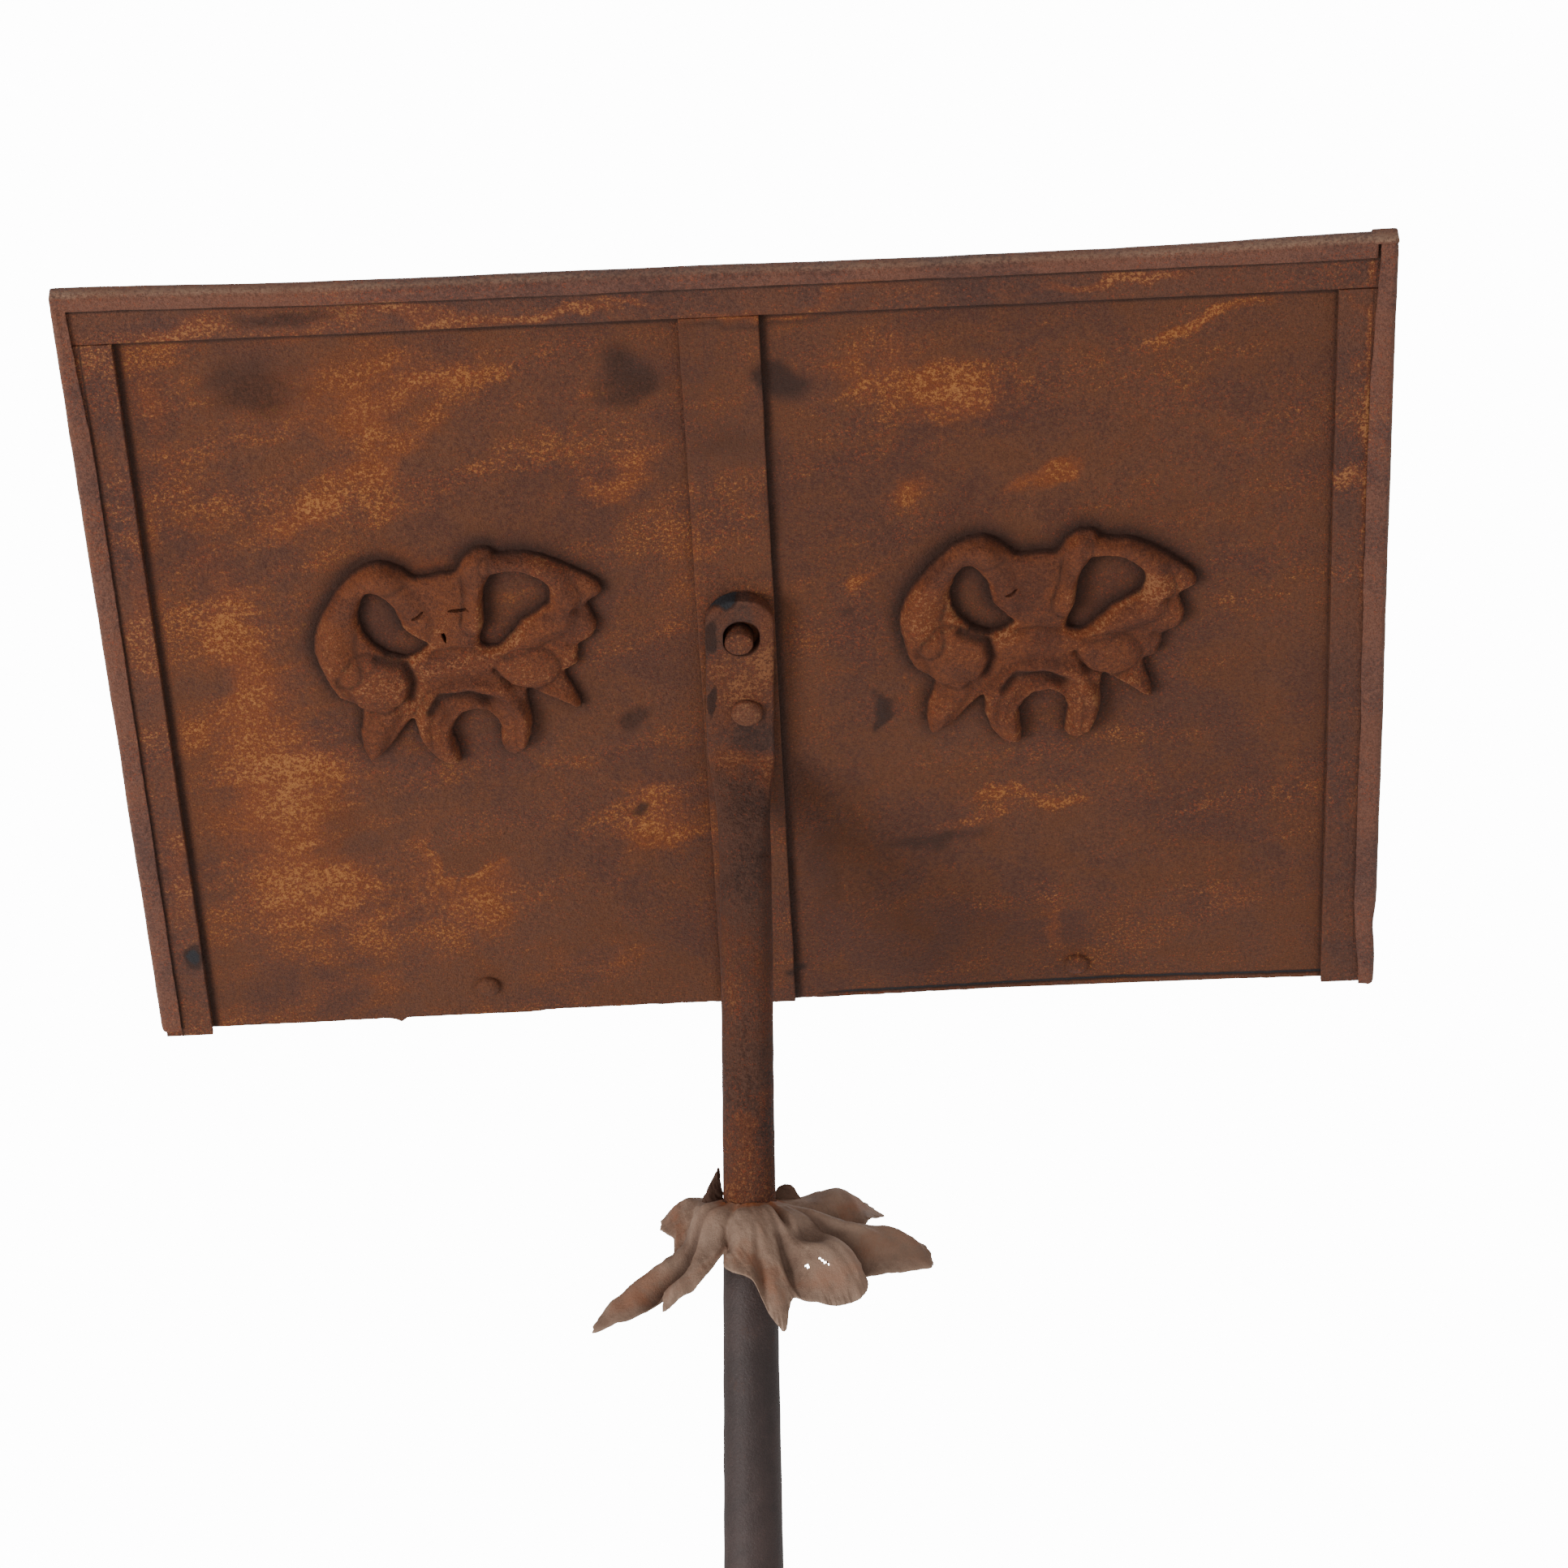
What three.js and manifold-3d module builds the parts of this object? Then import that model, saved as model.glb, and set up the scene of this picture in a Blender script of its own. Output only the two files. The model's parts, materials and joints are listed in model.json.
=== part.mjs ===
// Wrought-iron bible stand: a sloping sheet-iron desk riveted to a round rod, which turns in the top
// of a tapered post on four scrolled legs. Millimetres, +Z up, origin on the floor under the post.
// -Y is the ornamented back of the desk, which faces the congregation; the reader stands at +Y.
import * as THREE from 'three';
import { mergeVertices } from 'three/addons/utils/BufferGeometryUtils.js';
import Module from 'manifold-3d';

const wasm = await Module();
wasm.setup();

// ---- driving dimensions ----
const GAP = 0.3;                       // clearance between pieces that touch

const DESK_WIDTH = 457;                // sheet, edge to edge
const DESK_LENGTH = 346;               // sheet, up the slope
const SHEET = 1.5;                     // sheet thickness
const DESK_TILT = 40.2;                // degrees between the desk and the vertical
const DESK_ROLL = 2.4;                 // degrees the desk has rocked on its pivot rivet
const PIVOT = [1, -12.5, 1035];        // rocking rivet, on the back face of the sheet
const PIVOT_FROM_BOTTOM = 153;         // up the slope, from the sheet's lower edge
const PIVOT_FROM_CENTRE = -1.2;        // rivet's offset from the sheet's centre line

const BAND_THICK = 2.6;                // flat bands laid round the back of the sheet
const TOP_BAND_WIDTH = 21;
const SIDE_BAND_WIDTH = 18.5;
const HEM_THICK = 1.4;                 // folded edge bindings
const TOP_HEM_WIDTH = 9.5;
const SIDE_HEM_WIDTH = 6.6;
const FRONT_HEM_WIDTH = 7;
const HEM_ROUND = 1.6;                 // outer radius of a binding's folds
const HEM_FOOT = 1.2;                  // side bindings end this far above the bands' ends
const SIDE_OVERHANG = 3;               // bands and bindings run past the sheet's lower edge

const STRAP_WIDTH = 27.5;
const STRAP_THICK = 2.4;
const STRAP_FOOT = 2.5;                // strap's lower end, up from the sheet's lower edge
const STRAP_FROM_PIVOT = -2;           // strap's centre line from the pivot rivet

const TANG_WIDTH = 24.5;
const TANG_THICK = 5.6;
const TANG_TOP = 51.5;                 // end of the tang above the pivot rivet
const TANG_CORNER = 11.5;              // radius of the tang's upper corners
const TANG_FROM_PIVOT = -2.4;
const ROD_DIAMETER = 19;
const COLLAR_HEIGHT = 850;             // top of the lower post, where the rod turns
const SPIGOT_DIAMETER = 12.4;
const SPIGOT_LENGTH = 66;
const SPIGOT_PLAY = 0.08;              // radial, in the post's bore

const SHANK_DIAMETER = 7;
const RIVET_HEAD = 11.2;
const RIVET_DOME = 3;
const TAIL_THICK = 1.6;                // formed head of a rivet or stud on the reading side
const TAIL_CHAMFER = 0.8;
const STUD_DIAMETER = 10.6;
const STUD_TAIL_RADIUS = 6.2;
const STUD_ABOVE_PIVOT = 32;
const STUD_FROM_PIVOT = -1.4;
const SLOT_WIDTH = 13;
const SLOT_LENGTH = 16;
const SLOT_OFFSET = [0.9, 2.1];        // slot centre from the stud centre

const LEDGE_LENGTH = 424;
const LEDGE_DEPTH = 46;
const LEDGE_LIP = 15;
const LEDGE_FLANGE = 30;
const LEDGE_THICK = 2;
const LEDGE_DROP = 0.8;                // heel of the ledge below the sheet's lower edge
const LEDGE_BEND = 3;                  // outer radius of the ledge's two bends
const LEDGE_RIVETS = [[-104.8, 15], [117, 13.6]];
const LEDGE_RIVET_SHANK = 5;
const LEDGE_RIVET_HEAD = 8.6;
const LEDGE_RIVET_DOME = 2.6;

const POST_TOP_DIAMETER = 19.5;
const POST_FOOT_DIAMETER = 36;
const POST_FOOT_HEIGHT = 196;
const HUB_SIZE = 50;
const HUB_BOTTOM = 122;
const HUB_TOP = 190;
const HUB_CHAMFER = 7;
const TENON_DIAMETER = 22;
const TENON_LENGTH = 14;               // below the hub, inside the finial nut
const RING_HALF = 8;                   // half the post ring's height
const RING_RADIUS = 22;
const RING_BULGE = 5.6;
const NUT_RADIUS = 20;
const NUT_LENGTH = 46;
const NUT_FLANGE = 9;
const NUT_NECK = 12;
const BALL_RADIUS = 14;

const LEG_COUNT = 4;
const LEG_BAR = [28, 8];               // width, thickness
const LEG_REACH = 238;                 // foot centre from the post's axis
const LEG_KNEE_RADIUS = 46;
const LEG_KNEE_RISE = 6;               // knee starts this far above the hub's lower face
const LEG_SLOPE = 22;                  // degrees below the horizontal
const LEG_SCROLL_RADIUS = 17;
const SCROLL_STEP = 28;                // degrees between points of the scroll
const SCROLL_TIGHTENING = 0.62;        // loss of radius at each step
const PAD_DIAMETER = 38;
const PAD_THICK = 7;
const PAD_STUB = 6.2;                  // stub that holds the pad in the leg's scroll
const LEG_RIVET_HEIGHTS = [176, 150];
const LEG_RIVET_SHANK = 6.2;
const LEG_RIVET_HEAD_RADIUS = 6.6;
const LEG_RIVET_DOME = 3;
const LEG_RIVET_DEPTH = 5;             // blind shank in the hub

// ---- colours ----
const iron = (color, roughness = 0.75, metalness = 0.35) =>
  new THREE.MeshStandardMaterial({ color, roughness, metalness });
const SHEET_RUST = 0x643e2d;
const BAND_RUST = 0x5f4031;
const HEM_RUST = 0x5c443b;
const ORNAMENT_RUST = 0x744527;
const ROD_RUST = 0x5a4335;
const LEAF_TAN = 0x977a66;
const POST_BROWN = 0x4a3a34;
const BASE_IRON = 0x46382f;

// ---- helpers ----
const radians = THREE.MathUtils.degToRad;
const V3 = (x, y, z) => new THREE.Vector3(x, y, z);

function piece(parent, name, geometry, material) {
  const mesh = new THREE.Mesh(geometry, material);
  mesh.name = name;
  parent.add(mesh);
  return mesh;
}

function toManifold(geometry) {
  const bare = geometry.clone();
  bare.deleteAttribute('normal');
  bare.deleteAttribute('uv');
  const merged = mergeVertices(bare, 1e-4);
  return new wasm.Manifold(new wasm.Mesh({
    numProp: 3,
    vertProperties: new Float32Array(merged.attributes.position.array),
    triVerts: new Uint32Array(merged.index.array),
  }));
}

function fromManifold(solid) {
  const mesh = solid.getMesh();
  const geometry = new THREE.BufferGeometry();
  geometry.setAttribute('position', new THREE.BufferAttribute(new Float32Array(mesh.vertProperties), 3));
  geometry.setIndex(new THREE.BufferAttribute(new Uint32Array(mesh.triVerts), 1));
  geometry.computeVertexNormals();
  return geometry;
}

function cut(geometry, ...cutters) {
  return fromManifold(cutters.reduce((solid, c) => solid.subtract(toManifold(c)), toManifold(geometry)));
}

function polygon(points) {
  return new THREE.Shape(points.map(([x, y]) => new THREE.Vector2(x, y)));
}

function rectangle(x0, y0, x1, y1) {
  return polygon([[x0, y0], [x1, y0], [x1, y1], [x0, y1]]);
}

function extrude(shape, depth, curveSegments = 12) {
  return new THREE.ExtrudeGeometry(shape, { depth, bevelEnabled: false, curveSegments });
}

function roundHole(x, y, diameter) {
  const path = new THREE.Path();
  path.absarc(x, y, diameter / 2, 0, Math.PI * 2, true);
  return path;
}

// A section drawn as (up the slope, off the sheet), run along the desk's width.
function acrossDesk(shape, x0, x1) {
  const turn = new THREE.Matrix4().makeBasis(V3(0, 1, 0), V3(0, 0, 1), V3(1, 0, 0));
  return extrude(shape, x1 - x0).applyMatrix4(turn).translate(x0, 0, 0);
}

// A section drawn as (across the desk, off the sheet), run up the slope.
function upDesk(shape, v0, v1) {
  return extrude(shape, v1 - v0).rotateX(Math.PI / 2).translate(0, v1, 0);
}

// A turned piece about Z: [radius, height] points from the axis round to the axis.
function turned(profile, segments = 32) {
  const lathe = new THREE.LatheGeometry(profile.map(([r, h]) => new THREE.Vector2(r, h)), segments);
  return lathe.rotateX(Math.PI / 2);
}

function arc(cx, cy, r, from, to, steps) {
  return Array.from({ length: steps + 1 }, (_, i) => {
    const a = radians(from + (to - from) * i / steps);
    return [cx + r * Math.cos(a), cy + r * Math.sin(a)];
  });
}

// A solid skinned over closed rings of points, with flat fans closing both ends.
function loft(rings) {
  const count = rings[0].length;
  const points = rings.flat();
  const index = [];
  for (let i = 0; i < rings.length - 1; i++) {
    for (let j = 0; j < count; j++) {
      const a = i * count + j;
      const b = i * count + (j + 1) % count;
      index.push(a, b, b + count, a, b + count, a + count);
    }
  }
  const last = (rings.length - 1) * count;
  for (let j = 1; j < count - 1; j++) {
    index.push(0, j + 1, j);
    index.push(last, last + j, last + j + 1);
  }
  const geometry = new THREE.BufferGeometry().setFromPoints(points);
  geometry.setIndex(index);
  geometry.computeVertexNormals();
  return geometry;
}

// The formed head of a rivet or stud, from its underside at `low` to its outer edge.
function tailProfile(radius, low) {
  return [
    [0, low - TAIL_THICK], [radius - TAIL_CHAMFER, low - TAIL_THICK],
    [radius, low - TAIL_THICK + TAIL_CHAMFER], [radius, low],
  ];
}

// A quarter ellipse from a dome's rim to its top on the axis.
function domeProfile(radius, base, height, steps) {
  const quarter = arc(0, 0, 1, 0, 90, steps).map(([c, s]) => [radius * c, base + height * s]);
  quarter[steps][0] = 0;
  return quarter;
}

// A rivet along Z: formed head below `low`, shank, domed head above `high`.
function rivet(low, high, shank, head, dome) {
  const edge = dome / 4;
  return turned([
    ...tailProfile(head / 2 + 0.6, low), [shank / 2, low], [shank / 2, high], [head / 2, high],
    ...domeProfile(head / 2, high + edge, dome - edge, 4),
  ], 16);
}

// ---- groups ----
const stand = new THREE.Group();
const pivot = new THREE.Group();       // x across, y up the slope, z off the back of the sheet
pivot.position.set(...PIVOT);
pivot.rotation.x = Math.PI / 2 + radians(DESK_TILT);
stand.add(pivot);
const rocked = new THREE.Group();
rocked.rotation.z = radians(DESK_ROLL);
pivot.add(rocked);
const desk = new THREE.Group();        // sheet's own frame: centre line x = 0, lower edge y = 0
desk.position.set(-PIVOT_FROM_CENTRE, -PIVOT_FROM_BOTTOM, 0);
rocked.add(desk);

const half = DESK_WIDTH / 2;
const pivotHole = [PIVOT_FROM_CENTRE, PIVOT_FROM_BOTTOM];
const studHole = [PIVOT_FROM_CENTRE + STUD_FROM_PIVOT, PIVOT_FROM_BOTTOM + STUD_ABOVE_PIVOT];
const clearHole = SHANK_DIAMETER + 2 * GAP;

// ---- desk sheet, bands and bindings ----
function sheetGeometry() {
  const shape = rectangle(-half, 0, half, DESK_LENGTH);
  for (const [x, y] of [pivotHole, studHole]) shape.holes.push(roundHole(x, y, clearHole));
  for (const [x, y] of LEDGE_RIVETS) shape.holes.push(roundHole(x, y, LEDGE_RIVET_SHANK + 2 * GAP));
  return extrude(shape, SHEET).translate(0, 0, -SHEET);
}

function bandGeometry(x0, y0, x1, y1) {
  return extrude(rectangle(x0, y0, x1, y1), BAND_THICK).translate(0, 0, GAP);
}

// A channel folded round an edge at `edge`, opening towards -x of the section.
function hemSection(edge, backWidth, frontWidth) {
  const back = GAP + BAND_THICK + GAP;
  const front = -SHEET - GAP;
  const outer = edge + GAP + HEM_THICK;
  const round = HEM_ROUND;
  return polygon([
    [outer - backWidth, back], [edge + GAP, back], [edge + GAP, front], [outer - frontWidth, front],
    [outer - frontWidth, front - HEM_THICK], [outer - round, front - HEM_THICK],
    ...arc(outer - round, front - HEM_THICK + round, round, -60, 0, 2),
    ...arc(outer - round, back + HEM_THICK - round, round, 0, 90, 3),
    [outer - backWidth, back + HEM_THICK],
  ]);
}

function mirrored(geometry) {
  const flipped = mergeVertices(geometry.clone().scale(-1, 1, 1));
  const index = Array.from(flipped.index.array);
  for (let i = 0; i < index.length; i += 3) [index[i], index[i + 1]] = [index[i + 1], index[i]];
  flipped.setIndex(index);
  flipped.computeVertexNormals();
  return flipped;
}

piece(desk, 'desk_panel', sheetGeometry(), iron(SHEET_RUST));
const bandTop = DESK_LENGTH;
const bandSplit = DESK_LENGTH - TOP_BAND_WIDTH;
piece(desk, 'top_band', bandGeometry(-half, bandSplit, half, bandTop), iron(BAND_RUST));
piece(desk, 'left_band', bandGeometry(-half, -SIDE_OVERHANG, -half + SIDE_BAND_WIDTH, bandSplit - GAP),
  iron(BAND_RUST));
piece(desk, 'right_band', bandGeometry(half - SIDE_BAND_WIDTH, -SIDE_OVERHANG, half, bandSplit - GAP),
  iron(BAND_RUST));

const sideSection = hemSection(half, SIDE_HEM_WIDTH, FRONT_HEM_WIDTH);
const sideHem = upDesk(sideSection, HEM_FOOT - SIDE_OVERHANG, DESK_LENGTH + HEM_THICK);
piece(desk, 'right_hem', sideHem, iron(HEM_RUST));
piece(desk, 'left_hem', mirrored(sideHem), iron(HEM_RUST));
const topHemHalf = half - FRONT_HEM_WIDTH + HEM_THICK;
const topSection = hemSection(DESK_LENGTH, TOP_HEM_WIDTH, FRONT_HEM_WIDTH);
piece(desk, 'top_hem', acrossDesk(topSection, -topHemHalf, topHemHalf), iron(HEM_RUST));

// ---- centre strap ----
function strapGeometry() {
  const x = PIVOT_FROM_CENTRE + STRAP_FROM_PIVOT;
  const shape = rectangle(x - STRAP_WIDTH / 2, STRAP_FOOT, x + STRAP_WIDTH / 2, bandSplit - GAP);
  for (const [hx, hy] of [pivotHole, studHole]) shape.holes.push(roundHole(hx, hy, clearHole));
  return extrude(shape, STRAP_THICK).translate(0, 0, GAP);
}
piece(desk, 'centre_strap', strapGeometry(), iron(SHEET_RUST));

// ---- book ledge on the reading side, one bent strip ----
function ledgeGeometry() {
  const face = -SHEET - GAP;
  const outer = face - LEDGE_DEPTH;
  const t = LEDGE_THICK;
  const bend = LEDGE_BEND;
  const section = polygon([
    [LEDGE_FLANGE, face], ...arc(bend, face - bend, bend, 90, 180, 4),
    ...arc(bend, outer + bend, bend, 180, 270, 4), [LEDGE_LIP, outer], [LEDGE_LIP, outer + t],
    ...arc(bend, outer + bend, bend - t, 270, 180, 2), ...arc(bend, face - bend, bend - t, 180, 90, 2),
    [LEDGE_FLANGE, face - t],
  ].reverse());
  const strip = acrossDesk(section, -LEDGE_LENGTH / 2, LEDGE_LENGTH / 2);
  const [[x0, y0], [x1, y1]] = LEDGE_RIVETS;
  strip.translate(0, -LEDGE_DROP, 0).rotateZ(Math.atan2(y1 - y0, x1 - x0));
  const bore = LEDGE_RIVET_SHANK / 2 + GAP;
  const drill = new THREE.CylinderGeometry(bore, bore, 12, 16).rotateX(Math.PI / 2);
  return cut(strip, ...LEDGE_RIVETS.map(([x, y]) => drill.clone().translate(x, y, face)));
}
piece(desk, 'book_ledge', ledgeGeometry(), iron(SHEET_RUST));

const underLedge = -SHEET - GAP - LEDGE_THICK - GAP;
LEDGE_RIVETS.forEach(([x, y], i) => {
  const solid = rivet(underLedge, GAP, LEDGE_RIVET_SHANK, LEDGE_RIVET_HEAD, LEDGE_RIVET_DOME);
  piece(desk, `ledge_rivet_${['left', 'right'][i]}`, solid, iron(SHEET_RUST)).position.set(x, y, 0);
});

// ---- pressed foliate ornaments ----
// Outline of one ornament about its own centre, clockwise from the notch beside the ear.
const ORNAMENT_OUTLINE = [
  [-14, 37], [-5, 38.8], [0, 39], [3, 45], [8, 49.5], [13, 49], [14.5, 46.5], [25, 46.8], [36, 42],
  [44, 37], [50, 32.5], [51.5, 27.5], [45.6, 23], [49, 14], [46.5, 7], [42, 4.5], [41, -4.5], [35.8, -7.8],
  [39, -17], [41, -26], [32, -20.5], [22, -15.5], [23, -30], [20.5, -42], [15, -47], [10.5, -43], [11, -32],
  [6, -24], [-2, -25.5], [-6.5, -34], [-4, -49.5], [-12.5, -48], [-19, -36], [-20, -27], [-29, -40],
  [-37.5, -47], [-40, -33], [-38, -22], [-46, -16.5], [-50.5, -5], [-53, 5], [-51.5, 16], [-46, 27],
  [-37, 40], [-27, 45], [-19, 41.5],
];
const ORNAMENT_HOLES = [
  [[-31.5, 32.5], [-23, 24.5], [-20.7, 15], [-12, 7], [-20.5, 1], [-32, 8], [-36, 20]],
  [[13, 38], [23, 39], [32, 32], [32, 23.5], [22, 16], [13, 4.5], [6.5, 5.5], [9, 17], [9, 27]],
];
const ORNAMENT_RELIEF = 3.6;

function splineLoop(points, Type, perSpan) {
  const curve = new THREE.CatmullRomCurve3(points.map(([x, y]) => V3(x, y, 0)), true, 'centripetal');
  const flat = curve.getPoints(points.length * perSpan).slice(0, -1);
  return new Type(flat.map((p) => new THREE.Vector2(p.x, p.y)));
}

function ornamentGeometry() {
  const shape = splineLoop(ORNAMENT_OUTLINE.toReversed(), THREE.Shape, 2);
  shape.holes = ORNAMENT_HOLES.map((hole) => splineLoop(hole, THREE.Path, 2));
  return extrude(shape, ORNAMENT_RELIEF).translate(0, 0, GAP);
}
const ORNAMENTS = { left: [-101.5, 178.5, 0], right: [107, 176, -6] };
for (const [side, [x, y, lean]] of Object.entries(ORNAMENTS)) {
  const mesh = piece(desk, `ornament_${side}`, ornamentGeometry(), iron(ORNAMENT_RUST));
  mesh.position.set(x, y, 0);
  mesh.rotation.z = radians(lean);
}

// ---- stud that limits the rocking, riveted through the strap and the sheet ----
const tangLow = GAP + STRAP_THICK + GAP;
const tangHigh = tangLow + TANG_THICK;
function studGeometry() {
  const r = STUD_DIAMETER / 2;
  const low = -SHEET - GAP;
  const crown = 0.9;
  return turned([
    ...tailProfile(STUD_TAIL_RADIUS, low), [SHANK_DIAMETER / 2, low], [SHANK_DIAMETER / 2, tangLow],
    [r, tangLow], [r, tangHigh + 0.2], [r - crown, tangHigh + crown], [0, tangHigh + crown + 0.2],
  ], 20);
}
piece(desk, 'stop_stud', studGeometry(), iron(ROD_RUST)).position.set(...studHole, 0);

// ---- rod: round below, drawn out to a flat tang that lies on the strap ----
const tiltSin = Math.sin(radians(DESK_TILT));
const tiltCos = Math.cos(radians(DESK_TILT));
const tangMid = (tangLow + tangHigh) / 2;

// A point of the rod's bend plane, from its distance up the slope, in the stand's own frame.
function onTang(v) {
  return V3(0, PIVOT[1] - tangMid * tiltCos - v * tiltSin, PIVOT[2] - tangMid * tiltSin + v * tiltCos);
}
// Distance up the slope at which the tang's middle plane meets the rod's axis.
const bendAt = (PIVOT[1] - tangMid * tiltCos) / tiltSin;
const bendHeight = onTang(bendAt).z;

function rodSection(centre, across, halfWidth, halfThick, squareness, count = 20) {
  return Array.from({ length: count }, (_, i) => {
    const a = (i / count) * Math.PI * 2;
    const c = Math.cos(a);
    const s = Math.sin(a);
    const x = Math.sign(c) * Math.abs(c) ** (2 / squareness) * halfWidth;
    const t = Math.sign(s) * Math.abs(s) ** (2 / squareness) * halfThick;
    return V3(centre.x + x, centre.y + across.y * t, centre.z + across.z * t);
  });
}

function rodGeometry() {
  const rings = [];
  const flat = V3(0, 1, 0);
  const r = ROD_DIAMETER / 2;
  const spigot = SPIGOT_DIAMETER / 2;
  const low = COLLAR_HEIGHT - SPIGOT_LENGTH;
  rings.push(rodSection(V3(0, 0, low), flat, spigot - 1, spigot - 1, 2));
  rings.push(rodSection(V3(0, 0, low + 1.5), flat, spigot, spigot, 2));
  rings.push(rodSection(V3(0, 0, COLLAR_HEIGHT + GAP), flat, spigot, spigot, 2));
  rings.push(rodSection(V3(0, 0, COLLAR_HEIGHT + GAP + 0.01), flat, r - 0.4, r - 0.4, 2));
  rings.push(rodSection(V3(0, 0, COLLAR_HEIGHT + 2), flat, r, r, 2));
  for (let z = COLLAR_HEIGHT + 30; z < bendHeight - 40; z += 34) {
    rings.push(rodSection(V3(0, 0, z), flat, r, r, 2));
  }
  // the bend, from upright to the slope, while the round is drawn out flat
  const steps = 9;
  for (let i = 0; i <= steps; i++) {
    const k = i / steps;
    const lean = radians(DESK_TILT) * THREE.MathUtils.smoothstep(k, 0.25, 0.85);
    const along = -34 + 52 * k;
    const centre = along < 0 ? V3(0, 0, bendHeight + along) : onTang(bendAt + along);
    centre.x = (TANG_FROM_PIVOT + PIVOT[0]) * k;
    const thick = THREE.MathUtils.lerp(r, TANG_THICK / 2, THREE.MathUtils.smoothstep(k, 0, 0.72));
    const wide = THREE.MathUtils.lerp(r, TANG_WIDTH / 2, THREE.MathUtils.smoothstep(k, 0.1, 1));
    rings.push(rodSection(centre, V3(0, Math.cos(lean), Math.sin(lean)), wide, thick, 2 + 5 * k));
  }
  const across = V3(0, tiltCos, tiltSin);
  const shoulder = TANG_TOP - TANG_CORNER;
  const place = (v, w) => {
    const centre = onTang(v);
    centre.x = TANG_FROM_PIVOT + PIVOT[0];
    rings.push(rodSection(centre, across, w, TANG_THICK / 2, 7));
  };
  [0, 12, 26, shoulder].forEach((v) => place(v, TANG_WIDTH / 2));
  [25, 45, 62, 78].map(radians).forEach((a) => place(
    shoulder + TANG_CORNER * Math.sin(a),
    TANG_WIDTH / 2 - TANG_CORNER + TANG_CORNER * Math.cos(a),
  ));
  return rings;
}

function throughTang(shape) {
  const cutter = extrude(shape, 30).translate(0, 0, tangMid - 15);
  const frame = new THREE.Matrix4().makeRotationX(Math.PI / 2 + radians(DESK_TILT));
  return cutter.applyMatrix4(frame).translate(...PIVOT);
}

function slotShape() {
  const roll = radians(DESK_ROLL);
  const sx = STUD_FROM_PIVOT * Math.cos(roll) - STUD_ABOVE_PIVOT * Math.sin(roll) + SLOT_OFFSET[0];
  const sy = STUD_FROM_PIVOT * Math.sin(roll) + STUD_ABOVE_PIVOT * Math.cos(roll) + SLOT_OFFSET[1];
  const r = SLOT_WIDTH / 2;
  const rise = (SLOT_LENGTH - SLOT_WIDTH) / 2;
  const shape = new THREE.Shape();
  shape.absarc(sx, sy + rise, r, 0, Math.PI, false);
  shape.absarc(sx, sy - rise, r, Math.PI, Math.PI * 2, false);
  return shape;
}

const pivotBore = new THREE.Shape();
pivotBore.absarc(0, 0, clearHole / 2, 0, Math.PI * 2, false);
const rodSolid = cut(loft(rodGeometry()), throughTang(pivotBore), throughTang(slotShape()));
piece(stand, 'upper_post', rodSolid, iron(ROD_RUST));
const rockRivet = rivet(-SHEET - GAP, tangHigh + GAP, SHANK_DIAMETER, RIVET_HEAD, RIVET_DOME);
piece(pivot, 'rock_rivet', rockRivet, iron(ROD_RUST));

// ---- leaf collar: one pressed sheet, its lobes spread and drooping ----
// Each row: bearing in degrees from +X, reach of the rim, rim height from the collar's seat.
const LEAF_RIM = [
  [0, 52, -10], [14, 44, -10], [28, 50, 3], [44, 42, 0], [62, 26, -4], [90, 40, -12], [112, 26, -4],
  [140, 42, -2], [164, 36, -8], [184, 26, -14], [205, 60, -40], [228, 36, -28], [250, 24, -16],
  [285, 34, -40], [303, 26, -16], [322, 46, -26], [338, 36, -16], [348, 60, -22],
];
const LEAF_THICK = 1.2;

function leafRimAt(bearing) {
  const wrapped = [...LEAF_RIM, [LEAF_RIM[0][0] + 360, LEAF_RIM[0][1], LEAF_RIM[0][2]]];
  const i = wrapped.findIndex(([b], k) => bearing >= b && bearing < wrapped[k + 1][0]);
  const [b0, r0, h0] = wrapped[i];
  const [b1, r1, h1] = wrapped[i + 1];
  const k = THREE.MathUtils.smoothstep(bearing, b0, b1);
  return [THREE.MathUtils.lerp(r0, r1, k), THREE.MathUtils.lerp(h0, h1, k)];
}

function leafGeometry() {
  const around = 60;
  const neck = ROD_DIAMETER / 2 + 1;
  const outward = 5;
  const surface = (j, u, lift) => {
    const bearing = (j / around) * 360;
    const [reach, rim] = leafRimAt(bearing);
    const a = radians(bearing);
    const r = THREE.MathUtils.lerp(neck, reach, u);
    const h = 3 - 9 * Math.min(1, u * 3) + (rim + 6) * u ** 1.5 + lift;
    return V3(r * Math.cos(a), r * Math.sin(a), COLLAR_HEIGHT + h);
  };
  const points = [];
  const index = [];
  const ring = (u, lift) => Array.from({ length: around }, (_, j) => points.push(surface(j, u, lift)) - 1);
  const top = Array.from({ length: outward + 1 }, (_, i) => ring(i / outward, LEAF_THICK));
  const under = Array.from({ length: outward + 1 }, (_, i) => ring(i / outward, 0));
  const skin = (a, b, flip) => {
    for (let j = 0; j < around; j++) {
      const n = (j + 1) % around;
      if (flip) index.push(a[j], b[n], b[j], a[j], a[n], b[n]);
      else index.push(a[j], b[j], b[n], a[j], b[n], a[n]);
    }
  };
  for (let i = 0; i < outward; i++) {
    skin(top[i], top[i + 1], false);
    skin(under[i], under[i + 1], true);
  }
  skin(top[outward], under[outward], false);
  skin(under[0], top[0], false);
  const geometry = new THREE.BufferGeometry().setFromPoints(points);
  geometry.setIndex(index);
  geometry.computeVertexNormals();
  return geometry;
}
piece(stand, 'leaf_collar', leafGeometry(), iron(LEAF_TAN, 0.85, 0.15));

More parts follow.
